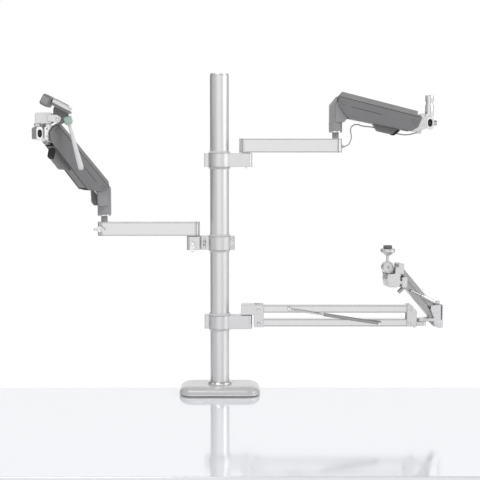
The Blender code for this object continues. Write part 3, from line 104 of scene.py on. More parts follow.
# Finishes
def group(name, inputs, outputs):
    tree = bpy.data.node_groups.new(name, "ShaderNodeTree")
    for label, value in inputs.items():
        socket = tree.interface.new_socket(label, in_out="INPUT", socket_type="NodeSocketFloat")
        socket.default_value = value
    for label in outputs:
        tree.interface.new_socket(label, in_out="OUTPUT", socket_type="NodeSocketFloat")
    start = tree.nodes.new("NodeGroupInput")
    end = tree.nodes.new("NodeGroupOutput")
    return tree, start, end


def node(tree, kind, **values):
    made = tree.nodes.new("ShaderNode" + kind)
    for label, value in values.items():
        setattr(made, label, value)
    return made


def link(tree, source, target):
    tree.links.new(source, target)


def ranged(tree, source, start=0, end=1, low=0, high=1):
    # Maps start..end to low..high
    spread = node(tree, "MapRange")
    link(tree, source, spread.inputs["Value"])
    for label, value in (("From Min", start), ("From Max", end), ("To Min", low), ("To Max", high)):
        spread.inputs[label].default_value = value
    return spread.outputs["Result"]


# What all finishes share: noise scales, and where a mask starts and ends
effects = {
    "broad": 34, "smear": 18, "lineDetail": 4, "cloudDetail": 6, "fine": 900, "long": 8,
    "edgeFrom": 0.995, "edgeTo": 0.85, "breakFrom": 0.3, "breakTo": 1.2, "upFrom": 0.5, "upTo": 1.0,
    "bumpDeep": 0.2 * mm, "dustAndTopLightColour": (0.7, 0.69, 0.67), "coatRough": 0.3,
}


def noise(tree, where, **values):
    cloud = node(tree, "TexNoise")
    link(tree, where, cloud.inputs["Vector"])
    for label, value in values.items():
        cloud.inputs[label].default_value = value
    return cloud


def times(tree, first, second):
    product = node(tree, "Math", operation="MULTIPLY")
    link(tree, first, product.inputs[0])
    link(tree, second, product.inputs[1])
    return product.outputs["Value"]


def makeGrain():
    # Fine isotropic grain of cast metal and moulded plastic
    tree, start, end = group("grain", {"Size": 900.0, "Detail": 3.0}, ["Height", "Tone"])
    where = node(tree, "TexCoord").outputs["Object"]
    fine = noise(tree, where)
    link(tree, start.outputs["Size"], fine.inputs["Scale"])
    link(tree, start.outputs["Detail"], fine.inputs["Detail"])
    link(tree, fine.outputs["Fac"], end.inputs["Height"])
    link(tree, noise(tree, where, Scale=effects["broad"]).outputs["Fac"], end.inputs["Tone"])
    return tree


def makeBrushed():
    # Hairlines of drawn aluminium, long along one axis
    tree, start, end = group("brushed", {"AlongX": 8.0, "AlongY": 900.0, "AlongZ": 900.0}, ["Height", "Tone"])
    where = node(tree, "TexCoord").outputs["Object"]
    stretch = node(tree, "CombineXYZ")
    for label in "XYZ":
        link(tree, start.outputs["Along" + label], stretch.inputs[label])
    product = node(tree, "VectorMath", operation="MULTIPLY")
    link(tree, where, product.inputs[0])
    link(tree, stretch.outputs["Vector"], product.inputs[1])
    lines = noise(tree, product.outputs["Vector"], Scale=1, Detail=effects["lineDetail"])
    for label in ("Height", "Tone"):
        link(tree, lines.outputs["Fac"], end.inputs[label])
    return tree


def makeEdgeWearAndShade():
    # Edges: where the rounded normal leaves the real one; a darker edge colour there is painted shade along
    # the edges, a lighter one is wear
    tree, start, end = group("edgeWearAndShade", {"Radius": 0.0012, "Breakup": 60.0}, ["Mask"])
    rounded = node(tree, "Bevel", samples=4)
    link(tree, start.outputs["Radius"], rounded.inputs["Radius"])
    here = node(tree, "NewGeometry")
    dot = node(tree, "VectorMath", operation="DOT_PRODUCT")
    link(tree, rounded.outputs["Normal"], dot.inputs[0])
    link(tree, here.outputs["Normal"], dot.inputs[1])
    edge = ranged(tree, dot.outputs["Value"], effects["edgeFrom"], effects["edgeTo"])
    gaps = noise(tree, node(tree, "TexCoord").outputs["Object"])
    link(tree, start.outputs["Breakup"], gaps.inputs["Scale"])
    broken = ranged(tree, gaps.outputs["Fac"], low=effects["breakFrom"], high=effects["breakTo"])
    link(tree, times(tree, edge, broken), end.inputs["Mask"])
    return tree


def makeDust():
    # Dust on what faces up, which where strong is painted light on the tops, and smudges that only change the
    # gloss
    tree, start, end = group("dustAndTopLight", {"Scale": 45.0}, ["Dust", "Smudge"])
    where = node(tree, "TexCoord").outputs["Object"]
    cloud = noise(tree, where, Detail=effects["cloudDetail"])
    link(tree, start.outputs["Scale"], cloud.inputs["Scale"])
    here = node(tree, "NewGeometry")
    parts = node(tree, "SeparateXYZ")
    link(tree, here.outputs["Normal"], parts.inputs["Vector"])
    up = ranged(tree, parts.outputs["Z"], effects["upFrom"], effects["upTo"])
    link(tree, times(tree, up, cloud.outputs["Fac"]), end.inputs["Dust"])
    link(tree, noise(tree, where, Scale=effects["smear"]).outputs["Fac"], end.inputs["Smudge"])
    return tree


grain = makeGrain()
brushed = makeBrushed()
edgeWearAndShade = makeEdgeWearAndShade()
dustAndTopLight = makeDust()


def grey(level, blue=None):
    return (level, level, level if blue is None else blue)


# Each finish: its colour, the lighter one it varies to, that of its edges (darker on most, as painted shade
# along the edges; lighter on some, as wear), its gloss, and how strong the effects are, where a strong dust
# level is painted light on what faces up; what a finish doesn't say is as in plain
plain = {"metal": 0.0, "pattern": "grain", "coat": 0, "reach": 1.2 * mm, "bump": 0.05}
finishes = {
    "satin": {"colour": grey(0.74, 0.75), "light": grey(0.80), "edge": grey(0.22), "metal": 1.0,
        "rough": (0.22, 0.30), "pattern": "brushed", "wearAndEdgeShade": 0.9, "dustAndTopLight": 0.06, "reach": 2.2 * mm},
    "plate": {"colour": grey(0.58, 0.59), "light": grey(0.64), "edge": grey(0.80), "metal": 0.1,
        "rough": (0.24, 0.30), "wearAndEdgeShade": 0.3, "dustAndTopLight": 0.8, "coat": 1.0},
    "tube": {"colour": grey(0.76, 0.77), "light": grey(0.82), "edge": grey(0.3), "metal": 1.0,
        "rough": (0.36, 0.42), "pattern": "brushed", "wearAndEdgeShade": 0.5, "dustAndTopLight": 0.04},
    "polished": {"colour": grey(0.78, 0.79), "light": grey(0.84), "edge": grey(0.24), "metal": 1.0,
        "rough": (0.10, 0.18), "bump": 0.02, "wearAndEdgeShade": 0.7, "dustAndTopLight": 0.03},
    "bright": {"colour": grey(0.86, 0.87), "light": grey(0.90), "edge": grey(0.3), "metal": 1.0,
        "rough": (0.3, 0.4), "bump": 0.02, "wearAndEdgeShade": 0.2, "dustAndTopLight": 0.03, "reach": 0.5 * mm},
    "bar": {"colour": grey(0.42, 0.425), "light": grey(0.50), "edge": grey(0.15), "metal": 1.0,
        "rough": (0.26, 0.34), "pattern": "brushed", "wearAndEdgeShade": 0.8, "dustAndTopLight": 0.06, "reach": 2 * mm},
    "cast": {"colour": grey(0.72, 0.73), "light": grey(0.78), "edge": grey(0.20), "metal": 1.0,
        "rough": (0.34, 0.46), "bump": 0.12, "wearAndEdgeShade": 0.85, "dustAndTopLight": 0.08, "reach": 2.2 * mm},
    "strut": {"colour": grey(0.34, 0.345), "light": grey(0.42), "edge": grey(0.15), "metal": 1.0,
        "rough": (0.26, 0.36), "pattern": "brushed", "wearAndEdgeShade": 0.4, "dustAndTopLight": 0.06},
    "casing": {"colour": grey(0.228, 0.23), "light": grey(0.26, 0.262), "edge": grey(0.10),
        "rough": (0.36, 0.48), "bump": 0.2, "wearAndEdgeShade": 0.6, "dustAndTopLight": 0.6},
    "riserCasing": {"colour": grey(0.37, 0.372), "light": grey(0.41, 0.412), "edge": grey(0.13),
        "rough": (0.36, 0.48), "bump": 0.2, "wearAndEdgeShade": 0.6, "dustAndTopLight": 0.20},
    "wheelGrey": {"colour": (0.17, 0.16, 0.165), "light": (0.24, 0.22, 0.23), "edge": (0.1, 0.09, 0.1),
        "rough": (0.4, 0.55), "bump": 0.1, "wearAndEdgeShade": 0.4, "dustAndTopLight": 0.08},
    "dark": {"colour": grey(0.035, 0.036), "light": grey(0.055, 0.056), "edge": grey(0.12),
        "rough": (0.45, 0.6), "bump": 0.2, "wearAndEdgeShade": 0.3, "dustAndTopLight": 0.12},
    "sleeve": {"colour": grey(0.72), "light": grey(0.78), "edge": grey(0.2), "rough": (0.40, 0.5),
        "bump": 0.1, "wearAndEdgeShade": 0.8, "dustAndTopLight": 0.08},
    "steel": {"colour": grey(0.55, 0.56), "light": grey(0.66), "edge": grey(0.8), "metal": 1.0,
        "rough": (0.2, 0.32), "wearAndEdgeShade": 0.3, "dustAndTopLight": 0.04},
    "rubber": {"colour": grey(0.012), "light": grey(0.022), "edge": grey(0.05), "rough": (0.6, 0.75),
        "bump": 0.3, "wearAndEdgeShade": 0.2, "dustAndTopLight": 0.10},
    "leadGrey": {"colour": grey(0.46, 0.47), "light": grey(0.54, 0.55), "edge": grey(0.5),
        "rough": (0.4, 0.55), "bump": 0.1, "wearAndEdgeShade": 0.1, "dustAndTopLight": 0.05},
    "handleWhite": {"colour": grey(0.90), "light": grey(0.93), "edge": grey(0.2), "rough": (0.25, 0.35),
        "wearAndEdgeShade": 0.1, "dustAndTopLight": 0.05},
    "paleGreen": {"colour": (0.52, 0.70, 0.58), "light": (0.60, 0.76, 0.65), "edge": (0.75, 0.85, 0.78),
        "rough": (0.3, 0.4), "wearAndEdgeShade": 0.2, "dustAndTopLight": 0.05},
}


def mixed(tree, share, first, second):
    # Mixes two colours: each a socket or a plain colour
    mix = node(tree, "MixRGB")
    link(tree, share, mix.inputs["Fac"])
    for label, colour in (("Color1", first), ("Color2", second)):
        if isinstance(colour, tuple):
            mix.inputs[label].default_value = (*colour, 1)
        else:
            link(tree, colour, mix.inputs[label])
    return mix.outputs["Color"]


def makeFinish(name, finish, along):
    material = bpy.data.materials.new(name)
    material.use_nodes = True
    tree = material.node_tree
    shader = tree.nodes["Principled BSDF"]
    shader.inputs["Metallic"].default_value = finish["metal"]
    shader.inputs["Coat Weight"].default_value = finish["coat"]
    shader.inputs["Coat Roughness"].default_value = effects["coatRough"]
    pattern = node(tree, "Group", node_tree=brushed if finish["pattern"] == "brushed" else grain)
    if finish["pattern"] == "brushed":
        for label in "XYZ":
            pattern.inputs["Along" + label].default_value = effects["long" if label == along else "fine"]
    spots = node(tree, "Group", node_tree=dustAndTopLight)
    wearAndEdgeShade = node(tree, "Group", node_tree=edgeWearAndShade)
    wearAndEdgeShade.inputs["Radius"].default_value = finish["reach"]
    colour = mixed(tree, pattern.outputs["Tone"], finish["colour"], finish["light"])
    # Edge colour mixed in: darker edges are painted shade, lighter ones are wear
    wornAndShadedEdge = ranged(tree, wearAndEdgeShade.outputs["Mask"], high=finish["wearAndEdgeShade"])
    colour = mixed(tree, wornAndShadedEdge, colour, finish["edge"])
    # Dust mixed in on what faces up; strong on the plate and the casings, it is painted light from above
    dustAndTopLightShare = ranged(tree, spots.outputs["Dust"], high=finish["dustAndTopLight"])
    colour = mixed(tree, dustAndTopLightShare, colour, effects["dustAndTopLightColour"])
    link(tree, colour, shader.inputs["Base Color"])
    link(tree, ranged(tree, spots.outputs["Smudge"], 0, 1, *finish["rough"]), shader.inputs["Roughness"])
    bump = node(tree, "Bump")
    bump.inputs["Strength"].default_value = finish["bump"]
    bump.inputs["Distance"].default_value = effects["bumpDeep"]
    link(tree, pattern.outputs["Height"], bump.inputs["Height"])
    link(tree, bump.outputs["Normal"], shader.inputs["Normal"])
    return material


made = {}
for name, finish in finishes.items():
    made[name] = makeFinish(name, {**plain, **finish}, "Z" if name == "tube" else "X")
print("finishes made:", len(made))

# The finish of each CAD node; the others are cast
nodeFinish = {
    "tube": ("pole", "pole_cap"),
    "plate": ("base_plate", "clamp_bracket"),
    "satin": ("light_beam", "camera_beam", "mic_upper_bar", "mic_lower_bar", "mic_fore_strut_tube"),
    "bar": ("mic_fore_upper", "mic_fore_lower"),
    "strut": ("mic_strut_tube",),
    "polished": ("light_socket", "camera_socket", "light_spigot"),
    "steel": ("clamp_screw", "clamp_handle", "light_gas_rod", "camera_gas_rod", "light_socket_knob",
              "mic_strut_rod", "mic_fore_strut_rod"),
    "riserCasing": ("light_riser", "camera_riser"),
    "casing": ("light_arm_shell", "camera_arm_shell", "light_cable_cover", "camera_cable_cover",
               "camera_tilt_head"),
    "dark": ("base_pad", "light_gas_cylinder", "camera_gas_cylinder", "mic_tilt_knob", "mic_thumbwheel"),
    "sleeve": ("light_sleeve", "camera_sleeve", "mic_sleeve"),
    "leadGrey": ("light_lead",),
    "handleWhite": ("camera_handle",),
}
finishOf = {name: finish for finish, names in nodeFinish.items() for name in names}

# How the edges of the CAD nodes are eased: most by "edge", those named by their own radius
dressing = {
    "edge": 0.35 * mm, "merge": 0.02 * mm, "flat": 0.6, "corner": 32, "segments": 2, "wideSegments": 4,
    "wide": 1 * mm,
    "own": {"light_beam": 0.8 * mm, "camera_beam": 0.8 * mm, "mic_upper_bar": 0.7 * mm,
            "mic_lower_bar": 0.7 * mm, "mic_fore_upper": 0.9 * mm, "mic_fore_lower": 0.9 * mm,
            "light_arm_shell": 0.7 * mm, "camera_arm_shell": 0.7 * mm, "base_plate": 0.8 * mm},
}


def easeEdges(piece, width, segments, corner):
    ease = piece.modifiers.new("ease", "BEVEL")
    ease.width = width
    ease.segments = segments
    ease.limit_method = "ANGLE"
    ease.angle_limit = radians(corner)


def dressNode(name, sizes):
    # A CAD node keeps its form: its edges are eased and its faces smoothed by modifiers only
    piece = nodes[name]
    mesh = piece.data
    mesh.materials.clear()
    mesh.materials.append(made[finishOf.get(name, "cast")])
    if "custom_normal" in mesh.attributes:
        mesh.attributes.remove(mesh.attributes["custom_normal"])
    mesh.shade_smooth()
    weld = piece.modifiers.new("weld", "WELD")
    weld.merge_threshold = sizes["merge"]
    flat = piece.modifiers.new("flat", "DECIMATE")
    flat.decimate_type = "DISSOLVE"
    flat.angle_limit = radians(sizes["flat"])
    edge = sizes["own"].get(name, sizes["edge"])
    easeEdges(piece, edge, sizes["wideSegments" if edge > sizes["wide"] else "segments"], sizes["corner"])
    normals = piece.modifiers.new("normals", "WEIGHTED_NORMAL")
    normals.keep_sharp = False


for name in nodes:
    dressNode(name, dressing)
print("nodes dressed")

# Where each body's own frame lies, read from its joints
joints = {joint["name"]: joint for joint in frame["joints"]}


def spotOf(name):
    return Vector(joints[name]["pos_m"])


def framed(origin, xAxis, yAxis):
    x = Vector(xAxis).normalized()
    z = x.cross(Vector(yAxis)).normalized()
    place = Matrix((x, z.cross(x), z)).transposed().to_4x4()
    place.translation = Vector(origin)
    return place


def sideOf(way):
    return Vector((0, 0, 1)).cross(way)


def levelWay(arm, start, end):
    way = spotOf(arm + end) - spotOf(arm + start)
    return Vector((way.x, way.y, 0)).normalized()


def levelPlace(arm, origin, start, end):
    way = levelWay(arm, start, end)
    return framed(spotOf(arm + origin), way, sideOf(way))


def collarPlace(arm):
    return levelPlace(arm, "_turn", "_turn", "_swing")


def beamPlace(arm):
    return levelPlace(arm, "_swing", "_swing", "_swivel")


def riserPlace(arm):
    return levelPlace(arm, "_swivel", "_swivel", "_tilt")


def headPlace(arm):
    return levelPlace(arm, "_level", "_tilt", "_level")


def armPlace(arm):
    way = spotOf(arm + "_level") - spotOf(arm + "_tilt")
    return framed(spotOf(arm + "_tilt"), way, sideOf(levelWay(arm, "_tilt", "_level")))


def along(axis, spot):
    # A place whose z points along an axis of the frame it is used in
    z = Vector(axis).normalized()
    x = z.orthogonal().normalized()
    place = Matrix((x, z.cross(x), z)).transposed().to_4x4()
    place.translation = Vector(spot)
    return place


atOrigin = Matrix.Identity(4)
onSide = Matrix.Rotation(pi / 2, 4, "X")    # turns an outline's x and y into a frame's x and z


# Solids added to a mesh; outlines lie in a place's x and y
def skin(bm, rings):
    # A closed skin over rings of as many points each
    for lower, upper in zip(rings, rings[1:]):
        for step in range(len(lower)):
            after = (step + 1) % len(lower)
            bm.faces.new((lower[step], lower[after], upper[after], upper[step]))
    bm.faces.new(rings[0][::-1])
    bm.faces.new(rings[-1])


def prism(bm, outline, low, high, place):
    skin(bm, [[bm.verts.new(place @ Vector((x, y, z))) for x, y in outline] for z in (low, high)])


def circle(radius, step, sides):
    angle = 2 * pi * step / sides
    return radius * cos(angle), radius * sin(angle)


def lathe(bm, profile, place, sides=48, closed=False):
    # Profile points are (radius, height), or (radius, height, ribs) where every other side is let in
    rings = []
    for radius, height, *ribs in profile:
        ring = []
        for step in range(sides if radius else 1):
            reach = radius - (ribs[0] if ribs and step % 2 else 0)
            ring.append(bm.verts.new(place @ Vector((*circle(reach, step, sides), height))))
        rings.append(ring)
    for lower, upper in zip(rings, rings[1:] + rings[:1] if closed else rings[1:]):
        for step in range(sides):
            after = (step + 1) % sides
            corners = (lower[step % len(lower)], lower[after % len(lower)],
                       upper[after % len(upper)], upper[step % len(upper)])
            bm.faces.new(list(dict.fromkeys(corners)))


def sweep(bm, points, radius, sides=16):
    last = len(points) - 1
    ways = [(points[min(step + 1, last)] - points[max(step - 1, 0)]).normalized() for step in range(last + 1)]
    side = ways[0].orthogonal().normalized()
    rings = []
    for point, way in zip(points, ways):
        side = (side - way * side.dot(way)).normalized()
        over = way.cross(side)
        ring = []
        for step in range(sides):
            x, y = circle(radius, step, sides)
            ring.append(bm.verts.new(point + side * x + over * y))
        rings.append(ring)
    skin(bm, rings)


def roundedBox(halfX, halfY, radius, steps=6):
    outline = []
    for turn, (x, y) in enumerate(((1, 1), (-1, 1), (-1, -1), (1, -1))):
        for step in range(steps + 1):
            angle = pi / 2 * (turn + step / steps)
            outline.append((x * (halfX - radius) + radius * cos(angle),
                            y * (halfY - radius) + radius * sin(angle)))
    return outline


# How the edges of added pieces are eased
easing = {"segments": 2, "corner": 35}


def addPiece(name, bm, finish, body, ease=0.0, replaced=()):
    # Shows a finished mesh as a piece that rides on a body
    piece = show(name, meshFrom(bm), made[finish])
    if ease:
        easeEdges(piece, ease, easing["segments"], easing["corner"])
        piece.modifiers.move(len(piece.modifiers) - 1, 0)
    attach(piece, body)
    if replaced:
        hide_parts(*replaced)


# The lead of the light: out of the beam's end, up in a free bend, through the cover, to the knuckle's hook
leadSizes = {
    "radius": 1.15 * mm, "perSpan": 7, "beamEnd": 175.5,
    "beam": ((0.5, -6, 10.4), (5, -6.3, 11), (12, -6.8, 15), (16, -7, 22.5), (17, -7, 31), (15.6, -6.5, 38.5),
             (16.4, -5.5, 45.5), (21, -4, 49.8), (28, -2, 51.2)),
    "cover": ((48, -32.2), (58, -30.8), (67, -30), (82, -30), (98, -30), (112, -30)),
    "head": ((-17, -25.6), (-6, -25), (0.5, -23.2), (5.4, -21.9)),
    "relief": ((0, -1.2), (2.4, -1.2), (2.4, 0.8), (1.8, 1.4), (1.4, 5), (0, 5)), "reliefSides": 24,
}


def leadLine(sizes):
    # Control points, then a smooth line with the same number of steps in each span
    knots = [beamPlace("light") @ (Vector((sizes["beamEnd"] + x, y, z)) * mm) for x, y, z in sizes["beam"]]
    knots += [armPlace("light") @ (Vector((x, 0, z)) * mm) for x, z in sizes["cover"]]
    knots += [headPlace("light") @ (Vector((x, 0, z)) * mm) for x, z in sizes["head"]]
    spans = []
    last = len(knots) - 1
    for index in range(last):
        before, start, end, after = (knots[max(index - 1, 0)], knots[index], knots[index + 1],
                                     knots[min(index + 2, last)])
        span = []
        for step in range(sizes["perSpan"]):
            share = step / sizes["perSpan"]
            span.append(0.5 * (2 * start + (end - before) * share
                               + (2 * before - 5 * start + 4 * end - after) * share ** 2
                               + (3 * start - 3 * end + after - before) * share ** 3))
        spans.append(span)
    return spans, knots


def makeLead(sizes):
    spans, knots = leadLine(sizes)
    # Name, first span, last span, body before, body after
    parts = (("leadBend", 0, 4, "light_beam_body", "light_riser_body"),
             ("leadRise", 5, 8, "light_riser_body", "light_arm_body"),
             ("leadInCover", 9, 12, "light_arm_body", None),
             ("leadToHead", 13, 17, "light_arm_body", "light_head"))
    for name, first, last, before, after in parts:
        points = [point for span in spans[first:last + 1] for point in span] + [knots[last + 1]]
        bm = bmesh.new()
        sweep(bm, points, sizes["radius"])
        piece = show(name, meshFrom(bm), made["leadGrey"])
        if after:
            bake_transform(piece)
        else:
            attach(piece, before)
        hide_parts("light_lead")
    relief = bmesh.new()
    lathe(relief, inMm(sizes["relief"]), along(knots[1] - knots[0], knots[0]), sizes["reliefSides"])
    addPiece("leadRelief", relief, "leadGrey", "light_beam_body")


# The pole, turned finer than the solid; play is what its neighbours leave round it
poleSizes = {"radius": 17.5 * mm, "wall": 2.2 * mm, "edge": 0.4 * mm, "play": 0.3 * mm, "sides": 96}


def makePole(sizes):
    low, high = (corner.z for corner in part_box("pole"))
    outer, inner, edge = sizes["radius"], sizes["radius"] - sizes["wall"], sizes["edge"]
    bm = bmesh.new()
    lathe(bm, [(inner, low), (outer - edge, low), (outer, low + edge), (outer, high - edge),
               (outer - edge, high), (inner, high)], atOrigin, sizes["sides"], closed=True)
    addPiece("poleTube", bm, "tube", "stand", replaced=("pole",))


# The base: a crowned plate, the bright stripe round its foot, and the ring round the pole (out, up)
baseSizes = {
    "corner": 24 * mm, "crown": 19 * mm, "steps": 8, "hem": 1.2 * mm, "lip": 1.6 * mm, "ringHigh": 6 * mm,
    "ring": ((0, -1), (4.6, -1), (4.6, 2.6), (3.8, 3.8), (1.6, 6), (0, 6)),
    "stripe": (1.3 * mm, 2.7 * mm), "stripeProud": 0.06 * mm, "stripeEase": 0.3 * mm,
}


def makeBase(sizes, pole):
    low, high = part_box("base_plate")
    middle = (low + high) / 2
    halfX, halfY = (high.x - low.x) / 2, (high.y - low.y) / 2
    top = high.z - sizes["ringHigh"]
    shoulder = low.z + sizes["hem"] + sizes["lip"]
    # Rounded rectangles, each let in from the plate's outline
    insets = [(sizes["hem"], low.z), (0, low.z + sizes["hem"]), (0, shoulder)]
    for step in range(1, sizes["steps"] + 1):
        turn = pi / 2 * step / sizes["steps"]
        insets.append((sizes["crown"] * (1 - cos(turn)), shoulder + (top - shoulder) * sin(turn)))
    bm = bmesh.new()
    rings = []
    for inset, height in insets:
        outline = roundedBox(halfX - inset, halfY - inset, sizes["corner"] - inset, sizes["steps"])
        rings.append([bm.verts.new((middle.x + x, middle.y + y, height)) for x, y in outline])
    skin(bm, rings)
    addPiece("basePlate", bm, "plate", "stand", replaced=("base_plate",))
    stripe = bmesh.new()
    proud = sizes["stripeProud"]
    outline = roundedBox(halfX + proud, halfY + proud, sizes["corner"], sizes["steps"])
    start, end = sizes["stripe"]
    prism(stripe, [(middle.x + x, middle.y + y) for x, y in outline], low.z + start, low.z + end, atOrigin)
    addPiece("baseHem", stripe, "bright", "stand", ease=sizes["stripeEase"])
    ring = bmesh.new()
    inner = pole["radius"] + pole["play"]
    lathe(ring, [(inner + out, top + up) for out, up in inMm(sizes["ring"])], atOrigin,
          pole["sides"], closed=True)
    addPiece("baseRing", ring, "polished", "stand")


# Sleeves between pole and collars, with a cone above and below
sleeveSizes = {"wall": 18.9 * mm, "tip": 18.5 * mm, "flare": 20.5 * mm, "lip": 3.7 * mm}


def makeSleeve(arm, sizes, pole):
    low, high = (corner.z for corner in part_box(arm + "_sleeve"))
    inner = pole["radius"] + pole["play"]
    wall, tip, flare, lip = (sizes[label] for label in ("wall", "tip", "flare", "lip"))
    bm = bmesh.new()
    lathe(bm, [(inner, high), (tip, high), (flare, high - lip), (wall, high - lip), (wall, low + lip),
               (flare, low + lip), (tip, low), (inner, low)], atOrigin, pole["sides"], closed=True)
    addPiece(arm + "SleeveRing", bm, "sleeve", arm + "_sleeve_ring", replaced=(arm + "_sleeve",))


# The lamp's spigot: a stud with a waist and a threaded hole's mouth on top
spigotSizes = {
    "full": 7.95 * mm, "waist": 6.5 * mm, "waistAt": 0.62, "waistHalf": 2 * mm, "slope": 2 * mm,
    "edge": 0.4 * mm, "chamfer": 1 * mm, "hole": 2.6 * mm, "holeFloor": 2.4 * mm, "holeDeep": 2.5 * mm,
    "sides": 64,
}


def makeSpigot(sizes):
    low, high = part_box("light_spigot")
    middle = (low + high) / 2
    tall = high.z - low.z
    neck = tall * sizes["waistAt"]
    full, waist, half = sizes["full"], sizes["waist"], sizes["waistHalf"]
    edge, chamfer, floor = sizes["edge"], sizes["chamfer"], tall - sizes["holeDeep"]
    slope = half + sizes["slope"]
    bm = bmesh.new()
    lathe(bm, [(0, 0), (full - edge, 0), (full, edge), (full, neck - slope), (waist, neck - half),
               (waist, neck + half), (full, neck + slope), (full, tall - chamfer), (full - chamfer, tall),
               (sizes["hole"], tall), (sizes["holeFloor"], floor), (0, floor)],
          Matrix.Translation((middle.x, middle.y, low.z)), sizes["sides"])
    addPiece("lightSpigot", bm, "polished", "spigot", replaced=("light_spigot",))


# Screws and pins with a socket: shares of the radius, and of the height for the hole's floor
socketSizes = {"chamfer": 0.25, "crown": 0.82, "hole": 0.56, "floor": 0.5, "floorAt": 0.45, "sides": 36}


def socketScrew(bm, spot, radius, tall):
    floor = tall * socketSizes["floorAt"]
    lathe(bm, [(0, 0), (radius, 0), (radius, tall - socketSizes["chamfer"] * radius),
               (radius * socketSizes["crown"], tall), (radius * socketSizes["hole"], tall),
               (radius * socketSizes["floor"], floor), (0, floor)], spot, socketSizes["sides"])


# Collars: one screw in a long slot of the lug that faces the front on the camera's collar; the slot is a dark
# patch on the lug's face, painted shade of its recess
collarSizes = {
    "lugX": 27.85 * mm, "face": 9.8 * mm, "screw": (2.2 * mm, 0.8 * mm),
    "slot": (2.6 * mm, 5.4 * mm, 2.5 * mm), "slotFrom": -0.3 * mm, "slotTo": 0.12 * mm,
}


def makeCollarScrews(arm, sizes):
    slot = bmesh.new()
    screw = bmesh.new()
    face = collarPlace(arm) @ along((0, 1, 0), (sizes["lugX"], sizes["face"], 0))
    up = (face.inverted() @ Vector((0, 0, 1))).xy
    upright = Matrix.Rotation(up.angle_signed(Vector((0, 1))), 4, "Z")
    # Dark patch for the slot: painted shade of its recess
    prism(slot, roundedBox(*sizes["slot"]), sizes["slotFrom"], sizes["slotTo"], face @ upright)
    socketScrew(screw, face, *sizes["screw"])
    addPiece(arm + "CollarSlotShade", slot, "strut", arm + "_clamp")
    addPiece(arm + "CollarScrew", screw, "steel", arm + "_clamp")


# Wing screws: a turned boss on a shaft, two rounded lobes and a plate behind them, profiles in mm
wingSizes = {
    "face": 13 * mm, "lobe": 4.6 * mm, "slim": 0.72, "out": 6.2 * mm, "thick": 4.2 * mm, "tip": 14.2 * mm,
    "root": ((0.3, 4.2), (3.6, 2.6)), "from": -0.30, "sweep": 1.35, "steps": 12,
    "boss": ((0, 0.3), (4.5, 0.3), (4.5, 1.6), (3.6, 2.4), (3.2, 5.5), (2.2, 6.5), (0, 6.7)),
    "bossSides": 40, "shaft": ((0, -6), (2, -6), (2, 0.6), (0, 0.6)), "shaftSides": 24,
    "plate": ((9.2, -1.2), (9.2, 1.2), (3, 4.8), (-3, 4.8), (-9.2, 1.2), (-9.2, -1.2), (-3, -4.8), (3, -4.8)),
    "plateFrom": 5 * mm, "plateTo": 8 * mm, "ease": 0.9 * mm,
}


def wingLobe(sizes, side):
    # Outline of one wing in the knob's x and z: narrow at the root, round at the tip
    reach = sizes["lobe"]
    outline = []
    for step in range(sizes["steps"] + 1):
        angle = pi * (sizes["from"] + sizes["sweep"] * step / sizes["steps"])
        outline.append((side * (sizes["out"] + reach * sizes["slim"] * cos(angle)),
                        sizes["tip"] - reach + reach * sin(angle)))
    outline += [(side * x, z) for x, z in inMm(sizes["root"])]
    return outline if side > 0 else outline[::-1]


def makeWing(name, node, body, spot, way, across, sizes):
    bm = bmesh.new()
    knob = framed(spot, across, Vector(way).cross(Vector(across)))
    lathe(bm, inMm(sizes["boss"]), knob, sizes["bossSides"])
    for side in (-1, 1):
        prism(bm, wingLobe(sizes, side), -sizes["thick"] / 2, sizes["thick"] / 2, knob @ onSide)
    lathe(bm, inMm(sizes["shaft"]), knob, sizes["shaftSides"])
    prism(bm, inMm(sizes["plate"]), sizes["plateFrom"], sizes["plateTo"], knob)
    addPiece(name, bm, "bright", body, ease=sizes["ease"], replaced=(node,))


def makeWings(arm, sizes):
    # Both face the front: one on the collar's block, one at the beam's far end
    way = levelWay(arm, "_turn", "_swing")
    side = sideOf(way)
    for label, end, across in (("Pivot", "_pivot", Vector((0, 0, 1))), ("Beam", "_beam", way)):
        turn = spotOf(arm + end + "_knob_turn")
        makeWing(arm + label + "Wing", arm + end + "_knob", arm + end + "_wing",
                 Vector((turn.x, side.y * sizes["face"], turn.z)), side, across, sizes)


# Beams: a cap over each end, with a seam where it meets the extrusion
capSizes = {
    "proud": 0.22 * mm, "half": 13 * mm, "round": 9 * mm, "steps": 8, "under": 0.15 * mm,
    "inside": 2.6 * mm, "tail": 12.8 * mm, "tailLength": 6.5 * mm, "end": 175.5 * mm,
    "endLength": 7.2 * mm, "seam": 0.7 * mm, "seamUp": 0.24 * mm, "seamOut": 0.26 * mm,
    "seamRound": 1 * mm, "ease": 0.8 * mm,
}


def capOutline(sizes, start, length, out):
    # Rounded end from x = start back over length, out = 1 for the far end and -1 for the near one
    half = sizes["half"] + sizes["proud"]
    radius = sizes["round"] + sizes["proud"]
    tip = start + out * sizes["proud"]
    turns = [pi / 2 * step / sizes["steps"] for step in range(sizes["steps"] + 1)]
    outline = [(start - out * length, -half)]
    outline += [(tip - out * radius + out * radius * sin(turn), -half + radius - radius * cos(turn))
                for turn in turns]
    outline += [(tip - out * radius + out * radius * cos(turn), half - radius + radius * sin(turn))
                for turn in turns]
    outline.append((start - out * length, half))
    return outline if out > 0 else outline[::-1]


